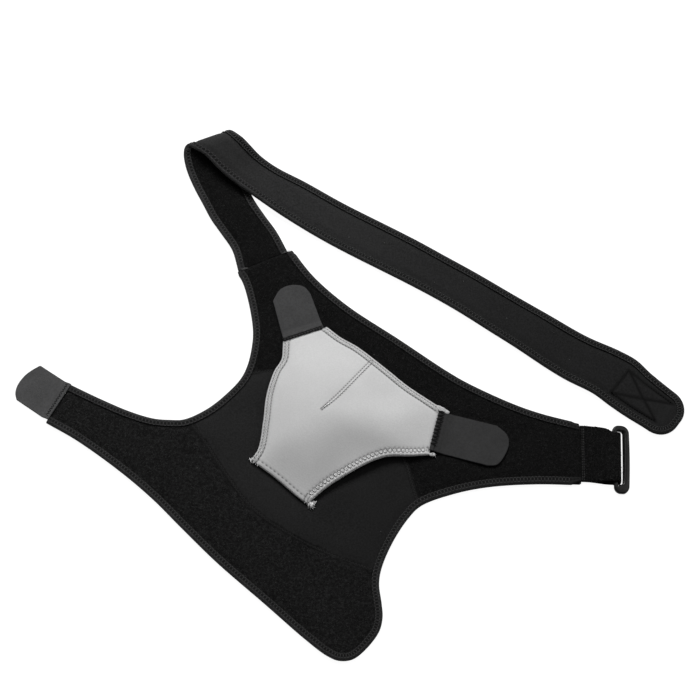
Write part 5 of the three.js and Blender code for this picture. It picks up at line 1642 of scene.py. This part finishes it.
def ring():
    """The ring: two bars and two arms, all edges rounded, lying a little tilted."""
    half = (RING_Y1 - RING_Y0) / 2
    x0, x1 = -BAR_HALF, RING_REACH

    def corners(ax, ay, bx, by, radii, bulge=0.0):
        """Four arcs and four sides, the same number of points on every loop."""
        pts = []
        c = [((bx - radii[1], ay + radii[1]), -90), ((bx - radii[2], by - radii[2]), 0),
             ((ax + radii[3], by - radii[3]), 90), ((ax + radii[0], ay + radii[0]), 180)]
        rr = [radii[1], radii[2], radii[3], radii[0]]
        for (cx, cy), start, r in ((c[k][0], c[k][1], rr[k]) for k in range(4)):
            for t in np.linspace(0, 90, 13):
                g = math.radians(start + t)
                pts.append((cx + r * math.cos(g), cy + r * math.sin(g)))
        pts = np.array(pts)
        full = []
        for k in range(4):
            full.append(pts[13 * k:13 * k + 13])
            a, b = pts[13 * k + 12], pts[(13 * k + 13) % 52]
            full.append(a + (b - a) * np.linspace(0, 1, 26)[1:-1, None])
        full = np.vstack(full)
        right = smoothstep(full[:, 0], (ax + bx) / 2, bx)
        full[:, 0] += bulge * right * (1 - (full[:, 1] / by) ** 2) + right * (0.024 * full[:, 1] - 0.35)
        return full
    outer = corners(x0, -half, x1 - 0.9, half, (6.5, 7.5, 7.5, 6.5), 0.9)
    inner = corners(BAR_HALF, -half + RING_ARM, x1 - RING_OUTER - 2.3, half - RING_ARM - 0.2, (1.6, 2.6, 3.0, 1.6), 0.2)
    lean = smoothstep(inner[:, 0], 5.0, 7.6)
    inner[:, 1] += 3.4 * (1 - smoothstep(inner[:, 1], -half + RING_ARM, -half + RING_ARM + 12)) * smoothstep(inner[:, 0], 2.0, 3.2)
    n = len(outer)
    span = inner - outer
    width = np.linalg.norm(span, axis=1)
    d = span / width[:, None]
    c = 1.75
    prof = []
    for t in np.linspace(0, 90, 7):
        g = math.radians(t)
        prof.append((c - c * math.cos(g), BAR_HALF - c + c * math.sin(g)))
    verts = []
    for i in range(n):
        cc = min(c, width[i] / 2 - 0.05)
        sec = [(a * cc / c, z) for a, z in prof]
        sec += [(width[i] - a * cc / c, z) for a, z in prof[::-1]]
        sec += [(a, -z) for a, z in sec[::-1]]
        for a, z in sec:
            if a > width[i] / 2:
                a = a - 2.6 * lean[i] * np.clip(0.5 + z / 4.4, 0, 1)
            q = outer[i] + d[i] * a
            verts.append((q[0], q[1], z))
    m = len(verts) // n
    f = []
    for i in range(n):
        for j in range(m):
            a, b = i * m + j, i * m + (j + 1) % m
            a2, b2 = ((i + 1) % n) * m + j, ((i + 1) % n) * m + (j + 1) % m
            f.append((a, a2, b2, b))
    v = np.array(verts)
    g = math.radians(RING_TILT)
    x = v[:, 0] * math.cos(g) + v[:, 2] * math.sin(g)
    z = -v[:, 0] * math.sin(g) + v[:, 2] * math.cos(g)
    v = np.column_stack([x + BAR_X, v[:, 1] + (RING_Y0 + RING_Y1) / 2, z + BAR_Z])
    o = build("buckle_ring_moulding", v, f, [PLASTIC], body="ring")
    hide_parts("buckle_ring")
    return o


ring_piece = ring()

# ============================================================== flat sizes of the cloth cuts
def sized(loop_rows, area):
    """The smallest turned rectangle that a cut fits, in metres."""
    p = np.asarray(loop_rows, float)
    best = None
    for k in range(90):
        g = math.radians(k)
        q = p @ np.array([[math.cos(g), -math.sin(g)], [math.sin(g), math.cos(g)]])
        s = q.max(0) - q.min(0)
        if best is None or s[0] * s[1] < best[0]:
            best = (s[0] * s[1], s.min() / 1000, s.max() / 1000)
    return best[1], best[2], area


FLAT = {}
for o, node, area in ((arm_panel, "arm_panel", arm_area), (centre_panel, "centre_panel", centre_area), (chest_panel, "chest_panel", chest_area)):
    w, l, a = sized(node_outline(node, SHEET_TOP), area)
    FLAT[node] = (round(w, 4), round(l, 4), round(a, 5))
for o, rows, node in ((arm_tab, ARM_TAB, "arm_hook_tab"), (top_tab, TOP_TAB, "pad_hook_tab_top"), (side_tab, SIDE_TAB, "pad_hook_tab_side")):
    loop = tab_loop(rows)
    w, l, a = sized(loop, abs(area_of(loop)) * 1e-6)
    FLAT[node] = (round(w, 4), round(l, 4), round(a, 5))
print("FLAT", FLAT, "strap", STRAP_LENGTH, "web", web_length)

# ============================================================== floor, light, camera
me = bpy.data.meshes.new("floor")
me.from_pydata([(-6, -6, -0.0004), (6, -6, -0.0004), (6, 6, -0.0004), (-6, 6, -0.0004)], [], [(0, 1, 2, 3)])
floor = bpy.data.objects.new("floor", me)
bpy.context.scene.collection.objects.link(floor)
fm = bpy.data.materials.new("floor_paper")
fm.use_nodes = True
paper = fm.node_tree.nodes["Principled BSDF"]
paper.inputs["Base Color"].default_value = (0.2, 0.2, 0.2, 1)
paper.inputs["Roughness"].default_value = 1.0
paper.inputs["Specular IOR Level"].default_value = 0.0
paper.inputs["Emission Color"].default_value = (1.0, 1.0, 1.0, 1)
paper.inputs["Emission Strength"].default_value = 0.95
me.materials.append(fm)

world = bpy.data.worlds.new("studio")
bpy.context.scene.world = world
world.use_nodes = True
world.node_tree.nodes["Background"].inputs[0].default_value = (1.0, 1.0, 1.0, 1)
world.node_tree.nodes["Background"].inputs[1].default_value = 0.16


def softbox(name, place, aim, size, power):
    light = bpy.data.lights.new(name, "AREA")
    light.shape = "RECTANGLE"
    light.size, light.size_y = size
    light.energy = power
    o = bpy.data.objects.new(name, light)
    o.location = place
    o.rotation_euler = (Vector(aim) - Vector(place)).to_track_quat("-Z", "Y").to_euler()
    bpy.context.scene.collection.objects.link(o)
    return o


softbox("key", (-0.3, 1.45, 1.4), (0, 0.02, 0), (1.3, 0.9), 48.5)
softbox("side", (1.5, 0.6, 1.5), (0, 0, 0), (1.0, 1.0), 9.0)

camera = bpy.data.objects.new("camera", bpy.data.cameras.new("camera"))
bpy.context.scene.collection.objects.link(camera)
EL = math.radians(68.0)
camera.location = (0.0006, 0.044 - 3.0 * math.cos(EL), 3.0 * math.sin(EL))
camera.rotation_euler = (math.radians(90 - 68.0), 0, 0)
camera.data.sensor_width = 36.0
camera.data.lens = 36.0 * 3000.0 / 700.0
camera.data.clip_start, camera.data.clip_end = 0.05, 50.0
bpy.context.scene.camera = camera
bpy.context.scene.view_settings.view_transform = "Standard"
bpy.context.scene.view_settings.look = "None"
